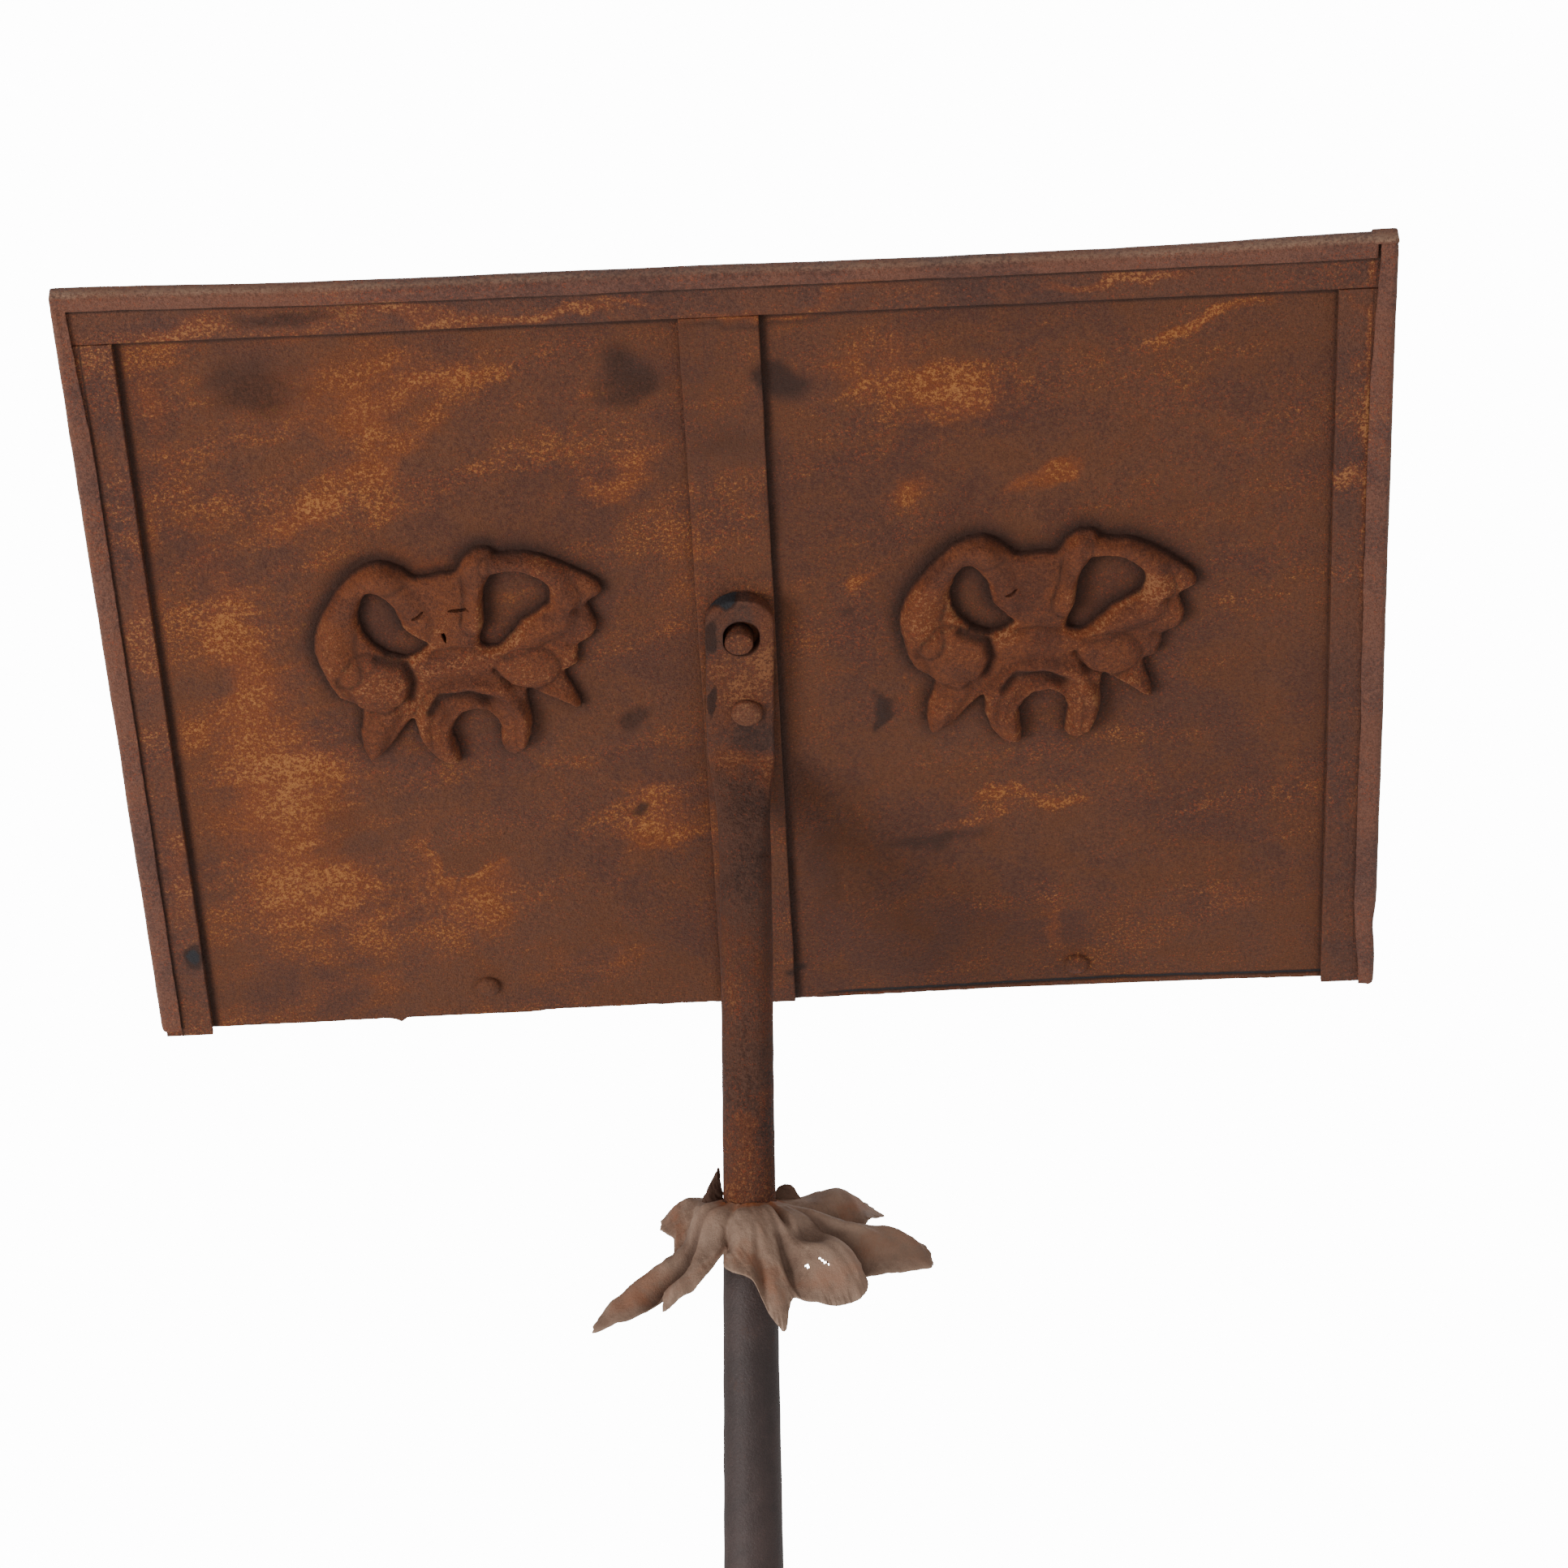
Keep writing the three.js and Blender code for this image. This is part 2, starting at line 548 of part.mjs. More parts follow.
// ---- lower post, hub and finial ----
const spigotBore = SPIGOT_DIAMETER / 2 + SPIGOT_PLAY;
const tenon = TENON_DIAMETER / 2;
const tenonEnd = HUB_BOTTOM - TENON_LENGTH;
const footRadius = POST_FOOT_DIAMETER / 2;
piece(stand, 'lower_post', turned([
  [0, tenonEnd], [tenon, tenonEnd], [tenon, HUB_TOP + GAP], [footRadius, HUB_TOP + GAP],
  [footRadius, POST_FOOT_HEIGHT], [14.6, 420], [11.6, 640],
  [POST_TOP_DIAMETER / 2 + 0.2, COLLAR_HEIGHT - 30], [POST_TOP_DIAMETER / 2 - 0.3, COLLAR_HEIGHT],
  [spigotBore, COLLAR_HEIGHT], [spigotBore, COLLAR_HEIGHT - SPIGOT_LENGTH - GAP],
  [0, COLLAR_HEIGHT - SPIGOT_LENGTH - GAP],
], 28), iron(POST_BROWN, 0.45, 0.5));

const ringHeight = HUB_TOP + GAP + RING_HALF;
const ringBore = footRadius + 2 * GAP;
piece(stand, 'post_ring', turned([
  [ringBore, ringHeight - RING_HALF], [RING_RADIUS + 3, ringHeight - RING_HALF],
  ...arc(RING_RADIUS, ringHeight, RING_BULGE, -60, 60, 4), [RING_RADIUS, ringHeight + RING_HALF],
  [ringBore, ringHeight + RING_HALF], [ringBore, ringHeight - RING_HALF],
], 24), iron(BASE_IRON));

function hubGeometry() {
  const s = HUB_SIZE / 2;
  const k = s - HUB_CHAMFER;
  const shape = polygon([[k, -s], [s, -k], [s, k], [k, s], [-k, s], [-s, k], [-s, -k], [-k, -s]]);
  shape.holes.push(roundHole(0, 0, TENON_DIAMETER + 2 * GAP));
  return extrude(shape, HUB_TOP - HUB_BOTTOM, 24).rotateZ(Math.PI / 4).translate(0, 0, HUB_BOTTOM);
}
const legBearings = Array.from({ length: LEG_COUNT }, (_, i) => 45 + i * 360 / LEG_COUNT);
const rivetBore = LEG_RIVET_SHANK / 2 + GAP;
const hubHoles = legBearings.flatMap((bearing) => LEG_RIVET_HEIGHTS.map((z) =>
  new THREE.CylinderGeometry(rivetBore, rivetBore, 12, 12).rotateZ(Math.PI / 2)
    .translate(HUB_SIZE / 2, 0, z).rotateZ(radians(bearing))));
piece(stand, 'base_hub', cut(hubGeometry(), ...hubHoles), iron(BASE_IRON));

const nutTop = HUB_BOTTOM - GAP;
const ballHeight = nutTop - 2 * BALL_RADIUS;
piece(stand, 'finial_nut', turned([
  [0, nutTop - NUT_LENGTH], [3, nutTop - NUT_LENGTH + 1], ...arc(0, ballHeight, BALL_RADIUS, -70, 50, 5),
  [NUT_NECK, nutTop - NUT_FLANGE - 3], [NUT_RADIUS, nutTop - NUT_FLANGE], [NUT_RADIUS, nutTop],
  [tenon + GAP, nutTop], [tenon + GAP, tenonEnd - GAP], [0, tenonEnd - GAP],
], 20), iron(BASE_IRON));

// ---- legs: flat bar bent in one plane, ending in a scroll that stands on a pad ----
function legPath() {
  const seat = HUB_SIZE / 2 + GAP + LEG_BAR[1] / 2;
  const floorLine = PAD_THICK + GAP + LEG_BAR[1] / 2;
  const kneeTop = HUB_BOTTOM + LEG_KNEE_RISE;
  const eye = floorLine + LEG_SCROLL_RADIUS;
  const kneeArc = arc(seat + LEG_KNEE_RADIUS, kneeTop, LEG_KNEE_RADIUS, 180, 270 - LEG_SLOPE, 7);
  const scrollArc = arc(LEG_REACH, eye, LEG_SCROLL_RADIUS, 270 - LEG_SLOPE, 270, 2);
  const curl = Array.from({ length: 11 }, (_, i) => {
    const a = radians(270 + SCROLL_STEP * (i + 1));
    const r = LEG_SCROLL_RADIUS - SCROLL_TIGHTENING * (i + 1);
    return [LEG_REACH + r * Math.cos(a), eye + r * Math.sin(a)];
  });
  return [[seat, HUB_TOP], [seat, kneeTop], ...kneeArc.slice(1), ...scrollArc, ...curl];
}

function barOutline(path, thickness) {
  const left = [];
  const right = [];
  path.forEach(([x, y], i) => {
    const [x0, y0] = path[Math.max(0, i - 1)];
    const [x1, y1] = path[Math.min(path.length - 1, i + 1)];
    const length = Math.hypot(x1 - x0, y1 - y0);
    const nx = -(y1 - y0) / length * thickness / 2;
    const ny = (x1 - x0) / length * thickness / 2;
    left.push([x + nx, y + ny]);
    right.push([x - nx, y - ny]);
  });
  return polygon([...left, ...right.reverse()]);
}

const path = legPath();
const legBlank = extrude(barOutline(path, LEG_BAR[1]), LEG_BAR[0]).translate(0, 0, -LEG_BAR[0] / 2)
  .rotateX(Math.PI / 2);
const legSeat = HUB_SIZE / 2 + GAP;
const legDrills = LEG_RIVET_HEIGHTS.map((z) => new THREE.CylinderGeometry(rivetBore, rivetBore, 20, 12)
  .rotateZ(Math.PI / 2).translate(legSeat + LEG_BAR[1] / 2, 0, z));
const padDrill = new THREE.CylinderGeometry(PAD_STUB / 2 + GAP, PAD_STUB / 2 + GAP, LEG_BAR[1] + 4, 12)
  .rotateX(Math.PI / 2).translate(LEG_REACH, 0, PAD_THICK + GAP + LEG_BAR[1] / 2);
const legGeometry = cut(legBlank, ...legDrills, padDrill);

legBearings.forEach((bearing, i) => {
  const arm = new THREE.Group();
  arm.rotation.z = radians(bearing);
  stand.add(arm);
  piece(arm, `leg_${i + 1}`, legGeometry.clone(), iron(BASE_IRON));
  LEG_RIVET_HEIGHTS.forEach((z, k) => {
    const mesh = piece(arm, `leg_rivet_${i + 1}_${k + 1}`, legRivet(), iron(BASE_IRON));
    mesh.position.set(legSeat, 0, z);
    mesh.rotation.y = Math.PI / 2;
  });
  piece(arm, `foot_pad_${i + 1}`, padGeometry(), iron(BASE_IRON)).position.set(LEG_REACH, 0, 0);
});

// A rivet driven into the hub: blind shank, domed head on the leg.
function legRivet() {
  const shank = LEG_RIVET_SHANK / 2;
  const face = LEG_BAR[1] + GAP;
  return turned([
    [0, -LEG_RIVET_DEPTH], [shank, -LEG_RIVET_DEPTH], [shank, face], [LEG_RIVET_HEAD_RADIUS, face],
    ...domeProfile(LEG_RIVET_HEAD_RADIUS, face + 0.8, LEG_RIVET_DOME, 3),
  ], 12);
}

// A round foot pad with its own stub, headed over inside the scroll.
function padGeometry() {
  const r = PAD_DIAMETER / 2;
  const stub = PAD_STUB / 2;
  const bar = PAD_THICK + GAP + LEG_BAR[1] + 1.6;
  return turned([
    [0, 0], [r, 0], [r, PAD_THICK - 2], [r - 2, PAD_THICK], [stub, PAD_THICK], [stub, bar],
    [stub + 1.6, bar], [stub + 1, bar + 1.5], [0, bar + 1.8],
  ], 20);
}

export default stand;
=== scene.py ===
# Rusted iron bible stand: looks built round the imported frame.
import json
import math

import bmesh
import bpy
import numpy as np
from mathutils import Matrix, Vector
from mathutils.geometry import delaunay_2d_cdt


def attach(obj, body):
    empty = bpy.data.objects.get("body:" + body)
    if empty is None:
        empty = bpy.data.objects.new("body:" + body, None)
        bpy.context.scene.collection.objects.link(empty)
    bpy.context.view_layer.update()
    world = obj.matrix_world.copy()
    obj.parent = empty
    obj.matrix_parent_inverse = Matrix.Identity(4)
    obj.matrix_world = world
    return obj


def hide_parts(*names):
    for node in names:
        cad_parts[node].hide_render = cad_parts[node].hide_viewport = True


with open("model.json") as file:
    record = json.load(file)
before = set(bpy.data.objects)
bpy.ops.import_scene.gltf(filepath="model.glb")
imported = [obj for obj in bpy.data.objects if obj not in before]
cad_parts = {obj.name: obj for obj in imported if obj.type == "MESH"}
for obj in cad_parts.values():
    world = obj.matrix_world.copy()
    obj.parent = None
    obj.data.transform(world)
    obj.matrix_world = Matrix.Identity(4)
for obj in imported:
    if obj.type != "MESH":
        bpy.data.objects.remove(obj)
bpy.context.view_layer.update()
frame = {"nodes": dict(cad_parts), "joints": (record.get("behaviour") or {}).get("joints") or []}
MM = 0.001

# ---- sizes, in millimetres, in the frame's own terms ----
JOINTS = {joint["name"]: joint for joint in frame["joints"]}
PIVOT = Vector(JOINTS["desk_rock"]["pos_m"]) * 1000
OFF_DESK = Vector(JOINTS["desk_rock"]["axis"])
SEAT = JOINTS["rod_swivel"]["pos_m"][2] * 1000
UP_DESK = OFF_DESK.cross(Vector((1, 0, 0)))
ROLL = math.radians(2.4)
PIVOT_X = -1.2
PIVOT_V = 153.0
HALF = 228.5
LENGTH = 346.0
SHEET = 1.5
GAP = 0.3
BAND_THICK = 2.6
TOP_BAND = 21.0
SIDE_BAND = 18.5
HEM_THICK = 1.4
STRAP_THICK = 2.4
STRAP_HALF = 13.75
STRAP_X = PIVOT_X - 2.0
TOP_TAPER = 2.0
TANG_LOW = 3.0
TANG_HIGH = 8.6
TANG_HALF = 12.25
TANG_TOP = 51.5
TANG_X = -2.4
ROD_RADIUS = 9.5
STUD = (PIVOT_X - 1.4, PIVOT_V + 32.0)
LEDGE_RIVETS = [(-104.8, 15.0), (117.0, 13.6)]
ORNAMENTS = [("left", (-101.5, 178.5), 0), ("right", (107.0, 176.0), -6)]

across = Vector((1, 0, 0)) * math.cos(ROLL) + UP_DESK * math.sin(ROLL)
upward = UP_DESK * math.cos(ROLL) - Vector((1, 0, 0)) * math.sin(ROLL)
corner = (PIVOT - across * PIVOT_X - upward * PIVOT_V) * MM
DESK = Matrix((
    (across.x, upward.x, OFF_DESK.x, corner.x),
    (across.y, upward.y, OFF_DESK.y, corner.y),
    (across.z, upward.z, OFF_DESK.z, corner.z),
    (0, 0, 0, 1),
))
WORLD = Matrix.Identity(4)


# ---- seeded noise ----
def lattice(ix, iy, seed):
    h = (ix.astype(np.int64) * 374761393 + iy.astype(np.int64) * 668265263 + seed * 974711) & 0xFFFFFFFF
    h = ((h ^ (h >> 13)) * 1274126177) & 0xFFFFFFFF
    return ((h ^ (h >> 16)) & 0xFFFF) / 32767.5 - 1


def noise(x, y, seed):
    x, y = np.broadcast_arrays(np.asarray(x, float), np.asarray(y, float))
    ix, iy = np.floor(x), np.floor(y)
    fx, fy = x - ix, y - iy
    fx, fy = fx * fx * (3 - 2 * fx), fy * fy * (3 - 2 * fy)
    low = lattice(ix, iy, seed) * (1 - fx) + lattice(ix + 1, iy, seed) * fx
    high = lattice(ix, iy + 1, seed) * (1 - fx) + lattice(ix + 1, iy + 1, seed) * fx
    return low * (1 - fy) + high * fy


def fbm(x, y, seed, octaves=4):
    total, size = 0, 1.0
    for i in range(octaves):
        total = total + size * noise(np.asarray(x) * 2**i, np.asarray(y) * 2**i, seed + i)
        size *= 0.5
    return total / 1.6


def smooth(x, low, high):
    t = np.clip((np.asarray(x, float) - low) / (high - low), 0, 1)
    return t * t * (3 - 2 * t)


# ---- mesh helpers ----
# How far the sheet's top edge has sagged: left of the strap, right of it and at the right corner.
SAG_LEFT = 1.9
SAG_RIGHT = 2.7
SAG_CORNER = 0.6


def top_sag(x):
    sag = SAG_LEFT * smooth(x, -HALF, -130) + (SAG_RIGHT - SAG_LEFT) * smooth(x, -10, 50)
    return sag - (SAG_RIGHT - SAG_CORNER) * smooth(x, 130, 240)


def settled(points):
    """Desk points after years of use: the top edge sags and the sides lean in a little."""
    x, v, w = points.T
    lean_in = (1.2 + 0.6 * smooth(v, 120, 220)) * smooth(x, 140, 222) - 0.6 * smooth(-x, 140, 222)
    sag = top_sag(x) * smooth(v, LENGTH - 7.5, LENGTH)
    return np.stack([x - lean_in, v - sag, w], 1)


def piece(name, verts, faces, body, nodes, material, matrix=WORLD, sharp=38, stain_and_shading=None):
    mesh = bpy.data.meshes.new(name)
    placed = np.asarray(verts, float).reshape(-1, 3)
    placed = settled(placed) if matrix is DESK else placed
    mesh.from_pydata((placed * MM).tolist(), [], faces)
    work = bmesh.new()
    work.from_mesh(mesh)
    bmesh.ops.recalc_face_normals(work, faces=work.faces)
    work.to_mesh(mesh)
    work.free()
    mesh.polygons.foreach_set("use_smooth", [True] * len(mesh.polygons))
    mesh.set_sharp_from_angle(angle=math.radians(sharp))
    if stain_and_shading is not None:
        layer = mesh.attributes.new("stain_and_shading", "FLOAT_COLOR", "POINT")
        values = np.ones((len(mesh.vertices), 4), np.float32)
        values[:, :3] = stain_and_shading(np.asarray(verts, float).reshape(-1, 3))
        layer.data.foreach_set("color", values.ravel())
    mesh.materials.append(material)
    obj = bpy.data.objects.new(name, mesh)
    bpy.context.scene.collection.objects.link(obj)
    obj.matrix_world = matrix
    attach(obj, body)
    if nodes:
        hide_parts(*nodes)
    return obj


def slab(top, bottom, keep=None, closed=False):
    """Verts and faces of the solid between two grids; keep drops cells, closed joins the columns."""
    rows, cols = top.shape[:2]
    count = rows * cols
    index = np.arange(count).reshape(rows, cols)
    if closed:
        index = np.hstack([index, index[:, :1]])
    cells = np.ones((rows - 1, index.shape[1] - 1), bool) if keep is None else keep
    a, b = index[:-1, :-1][cells], index[1:, :-1][cells]
    c, d = index[1:, 1:][cells], index[:-1, 1:][cells]
    faces = np.stack([a, b, c, d], 1).tolist() + (np.stack([d, c, b, a], 1) + count).tolist()
    edges = {}
    for quad in zip(a.tolist(), b.tolist(), c.tolist(), d.tolist()):
        for i in range(4):
            p, q = quad[i], quad[(i + 1) % 4]
            if (q, p) in edges:
                del edges[(q, p)]
            else:
                edges[(p, q)] = True
    faces += [[q, p, p + count, q + count] for p, q in edges]
    used = np.unique(np.concatenate([a, b, c, d]))
    renumber = -np.ones(2 * count, int)
    kept = np.concatenate([used, used + count])
    renumber[kept] = np.arange(len(kept))
    verts = np.concatenate([top.reshape(count, -1), bottom.reshape(count, -1)])[kept]
    return verts, [[int(renumber[i]) for i in face] for face in faces]


def skin(rings, caps=True):
    """Verts and faces of a solid skinned over closed rings, shaped (rings, points, 3)."""
    rows, cols = rings.shape[:2]
    index = np.arange(rows * cols).reshape(rows, cols)
    turned = np.roll(index, -1, 1)
    faces = np.stack([index[:-1], turned[:-1], turned[1:], index[1:]], -1).reshape(-1, 4).tolist()
    if caps:
        faces += [index[0][::-1].tolist(), index[-1].tolist()]
    return rings.reshape(-1, 3), faces


def turned_solid(profile, segments=64, wobble=0.0, seed=0):
    """Verts and faces turned about Z from (radius, height) points that start and end on the axis."""
    inner = np.asarray(profile[1:-1], float)
    angles = np.arange(segments) / segments * 2 * math.pi
    c, s = np.cos(angles), np.sin(angles)
    r = inner[:, :1] * (1 + 0 * c)
    if wobble:
        r = r + wobble * noise(4 * c[None, :] + 0 * r, inner[:, 1:] / 5 + 3 * s[None, :], seed)
    rings = np.stack([r * c, r * s, inner[:, 1:] + 0 * r], -1)
    verts, faces = skin(rings, caps=False)
    low, high = len(verts), len(verts) + 1
    verts = np.concatenate([verts, [[0, 0, profile[0][1]], [0, 0, profile[-1][1]]]])
    last = (len(inner) - 1) * segments
    for j in range(segments):
        k = (j + 1) % segments
        faces.append([low, k, j])
        faces.append([high, last + j, last + k])
    return verts, faces


def arc(cx, cy, r, start, end, steps):
    a = np.radians(np.linspace(start, end, steps + 1))
    return np.stack([cx + r * np.cos(a), cy + r * np.sin(a)], 1)


def bar_section(a0, a1, b0, b1, r, cells=8, round_steps=3):
    """Rounded rectangles from arrays of edges: (rings, points, 2), long faces divided for dents."""
    a0, a1 = np.asarray(a0, float)[:, None], np.asarray(a1, float)[:, None]
    b0, b1 = np.asarray(b0, float)[:, None], np.asarray(b1, float)[:, None]
    parts = []
    for (sa, sb, start) in ((1, -1, -90), (1, 1, 0), (-1, 1, 90), (-1, -1, 180)):
        turn = np.radians(np.linspace(start, start + 90, round_steps + 1))[None, :]
        ca = (a1 - r) if sa > 0 else (a0 + r)
        cb = (b1 - r) if sb > 0 else (b0 + r)
        parts.append(np.stack([ca + r * np.cos(turn), cb + r * np.sin(turn)], -1))
        if sa == sb:
            t = (np.arange(1, cells) / cells)[None, :]
            t = t if sa > 0 else 1 - t
            first, last = a0 + r, a1 - r
            along = last + (first - last) * t if sa > 0 else first + (last - first) * (1 - t)
            edge = b1 if sb > 0 else b0
            parts.append(np.stack([along, edge + 0 * along], -1))
    return np.concatenate(parts, 1)


# ---- materials ----
def linear(r, g, b):
    c = np.array([r, g, b], float) / 255
    return tuple(np.where(c <= 0.04045, c / 12.92, ((c + 0.055) / 1.055) ** 2.4)) + (1.0,)


class Shader:
    """A node material written as nested calls."""

    def __init__(self, name):
        self.material = bpy.data.materials.new(name)
        self.material.use_nodes = True
        self.tree = self.material.node_tree
        self.tree.nodes.clear()
        self.output = self.tree.nodes.new("ShaderNodeOutputMaterial")
        self.surface = self.tree.nodes.new("ShaderNodeBsdfPrincipled")
        self.tree.links.new(self.surface.outputs[0], self.output.inputs["Surface"])
        self.place = self.tree.nodes.new("ShaderNodeTexCoord").outputs["Object"]

    def put(self, socket, value):
        if isinstance(value, bpy.types.NodeSocket):
            self.tree.links.new(value, socket)
        else:
            socket.default_value = value

    def noise(self, scale, detail=4.0, rough=0.55, vector=None, distortion=0.0):
        node = self.tree.nodes.new("ShaderNodeTexNoise")
        self.put(node.inputs["Vector"], vector or self.place)
        node.inputs["Scale"].default_value = scale
        node.inputs["Detail"].default_value = detail
        node.inputs["Roughness"].default_value = rough
        node.inputs["Distortion"].default_value = distortion
        return node.outputs["Fac"]

    def grain(self, scale, detail, rough, vector=None, distortion=0.0):
        """A noise whose usual range is drawn out to fill 0 to 1."""
        weights = [rough**k for k in range(detail + 1)]
        spread = 0.30 * math.sqrt(sum(w * w for w in weights)) / sum(weights)
        return self.span(self.noise(scale, detail, rough, vector, distortion), 0.5 - spread, 0.5 + spread)

    def cells(self, scale):
        node = self.tree.nodes.new("ShaderNodeTexVoronoi")
        self.put(node.inputs["Vector"], self.place)
        node.inputs["Scale"].default_value = scale
        return node.outputs["Distance"]

    def stretch(self, turn, scale):
        """Object coordinates drawn out along a direction, in degrees."""
        node = self.tree.nodes.new("ShaderNodeMapping")
        node.vector_type = "TEXTURE"
        self.put(node.inputs["Vector"], self.place)
        node.inputs["Rotation"].default_value = (0, 0, math.radians(turn))
        node.inputs["Scale"].default_value = scale
        return node.outputs["Vector"]

    def stain_and_shading(self):
        attribute = self.tree.nodes.new("ShaderNodeAttribute")
        attribute.attribute_name = "stain_and_shading"
        split = self.tree.nodes.new("ShaderNodeSeparateColor")
        self.tree.links.new(attribute.outputs["Color"], split.inputs[0])
        return split.outputs[0], split.outputs[1], split.outputs[2]

    def math(self, kind, a, b=0.0, c=0.0):
        node = self.tree.nodes.new("ShaderNodeMath")
        node.operation = kind
        for socket, value in zip(node.inputs, (a, b, c)):
            self.put(socket, value)
        return node.outputs[0]

    def blend(self, *terms):
        """Sum of value * weight terms."""
        total = None
        for value, weight in terms:
            scaled = self.math("MULTIPLY", value, weight)
            total = scaled if total is None else self.math("ADD", total, scaled)
        return total

    def span(self, value, low, high, out_low=0.0, out_high=1.0):
        node = self.tree.nodes.new("ShaderNodeMapRange")
        node.interpolation_type = "SMOOTHSTEP"
        self.put(node.inputs["Value"], value)
        for key, number in (("From Min", low), ("From Max", high), ("To Min", out_low), ("To Max", out_high)):
            self.put(node.inputs[key], number)
        return node.outputs[0]

    def mix(self, factor, a, b, kind="MIX"):
        node = self.tree.nodes.new("ShaderNodeMix")
        node.data_type = "RGBA"
        node.blend_type = kind
        self.put(node.inputs[0], factor)
        self.put(node.inputs[6], a)
        self.put(node.inputs[7], b)
        return node.outputs[2]

    def bump(self, height, distance, strength=1.0):
        node = self.tree.nodes.new("ShaderNodeBump")
        node.inputs["Strength"].default_value = strength
        node.inputs["Distance"].default_value = distance
        self.put(node.inputs["Height"], height)
        return node.outputs[0]

    def finish(self, colour, rough, normal, metallic=0.0, specular=0.3):
        self.put(self.surface.inputs["Base Color"], colour)
        self.put(self.surface.inputs["Roughness"], rough)
        self.put(self.surface.inputs["Normal"], normal)
        self.surface.inputs["Metallic"].default_value = metallic
        self.surface.inputs["Specular IOR Level"].default_value = specular
        return self.material


def rust(name, deep, base, glaze, orange, patches=0.0, gloss=0.0, relief=1.0):
    """Rusted iron. Of the per-vertex colour attribute, red is orange deposits, green is scale and also painted shade,
    and blue is worn metal and also painted highlight.
    """
    s = Shader(name)
    warm, dark, pale = s.stain_and_shading()
    broad = s.grain(9, 4, 0.6)
    blotch = s.grain(42, 5, 0.65, distortion=0.4)
    drag = s.grain(34, 6, 0.7, vector=s.stretch(14, (3.4, 1.0, 1.0)))
    grit = s.grain(780, 4, 0.7)
    dust = s.grain(1900, 2, 0.7)
    fleck = s.grain(960, 3, 0.7)
    tone = s.blend((broad, 0.35), (blotch, 0.4), (grit, 0.25))
    colour = s.mix(s.span(tone, 0.12, 0.72), linear(*deep), linear(*base))
    glazed = s.span(s.blend((warm, 0.75), (drag, 0.27), (blotch, 0.15), (grit, 0.08)), 0.32, 0.95)
    colour = s.mix(s.math("MULTIPLY", glazed, 0.9), colour, linear(*glaze))
    pepper = s.span(s.blend((dust, 0.55), (grit, 0.45)), 0.1, 0.8, 0.5, 0.0)
    colour = s.mix(pepper, colour, linear(170, 146, 140), kind="MULTIPLY")
    red = s.span(s.blend((fleck, 0.6), (dust, 0.25), (drag, 0.15)), 0.70, 0.84)
    colour = s.mix(s.math("MULTIPLY", red, 0.6), colour, linear(146, 68, 38))
    tan = s.blend((warm, 0.31), (drag, 0.26), (blotch, 0.12), (grit, 0.40), (dust, 0.22), (patches, 1.0))
    crust = s.span(tan, 0.79, 0.90)
    colour = s.mix(s.math("MULTIPLY", crust, 0.9), colour, linear(*orange))
    # Green darkens: scale and damp stains, and also painted shade at seams, round the ornaments, in creases and in
    # recesses.
    shade = s.span(s.blend((dark, 0.85), (blotch, 0.12), (grit, 0.25)), 0.36, 1.0)
    colour = s.mix(s.math("MULTIPLY", shade, 0.85), colour, linear(52, 33, 26))
    # Green past 1.1 turns blue-black: bare iron and black scale, and also painted shade in the ornament slits and in
    # the gap along the lower edge.
    colour = s.mix(s.span(dark, 1.1, 1.5), colour, linear(44, 43, 46))
    # Blue lightens toward worn iron: wear, and also painted highlight along the bindings' rolled edges.
    worn = s.math("MULTIPLY", pale, s.span(grit, 0.0, 0.8, 0.25, 0.8))
    colour = s.mix(worn, colour, linear(160, 126, 102))
    pits = s.span(s.cells(420), 0.0, 0.30)
    height = s.blend((s.noise(430, 5, 0.75), 1.0), (s.noise(1500, 2, 0.7), 0.4), (crust, 0.08), (pits, 0.12))
    normal = s.bump(height, 0.0016 * relief)
    rough = s.span(s.blend((blotch, 0.5), (crust, 0.3), (grit, 0.2)), 0.1, 0.9, 0.60 - gloss, 0.9 - gloss)
    return s.finish(colour, rough, normal, 0.0, 0.25)


SHEET_RUST = rust("sheet_rust", (90, 55, 41), (107, 66, 44), (136, 72, 37), (170, 110, 62))
EDGE_RUST = rust("edge_rust", (86, 56, 46), (106, 67, 49), (124, 68, 42), (164, 108, 66), gloss=0.05)
# The bindings' rust is lighter and greyer than the bands': partly painted highlight on their rolled edges.
HEM_RUST_HIGHLIT = rust("hem_rust_highlit", (98, 66, 56), (124, 82, 65), (130, 79, 56), (158, 108, 74), patches=-0.04,
                gloss=0.12)
ORNAMENT_RUST = rust("ornament_rust", (98, 56, 38), (126, 72, 44), (138, 74, 40), (164, 108, 70), relief=1.5)
ROD_RUST = rust("rod_rust", (72, 49, 41), (101, 67, 52), (118, 66, 41), (146, 94, 60), patches=-0.05,
                gloss=0.06, relief=1.6)


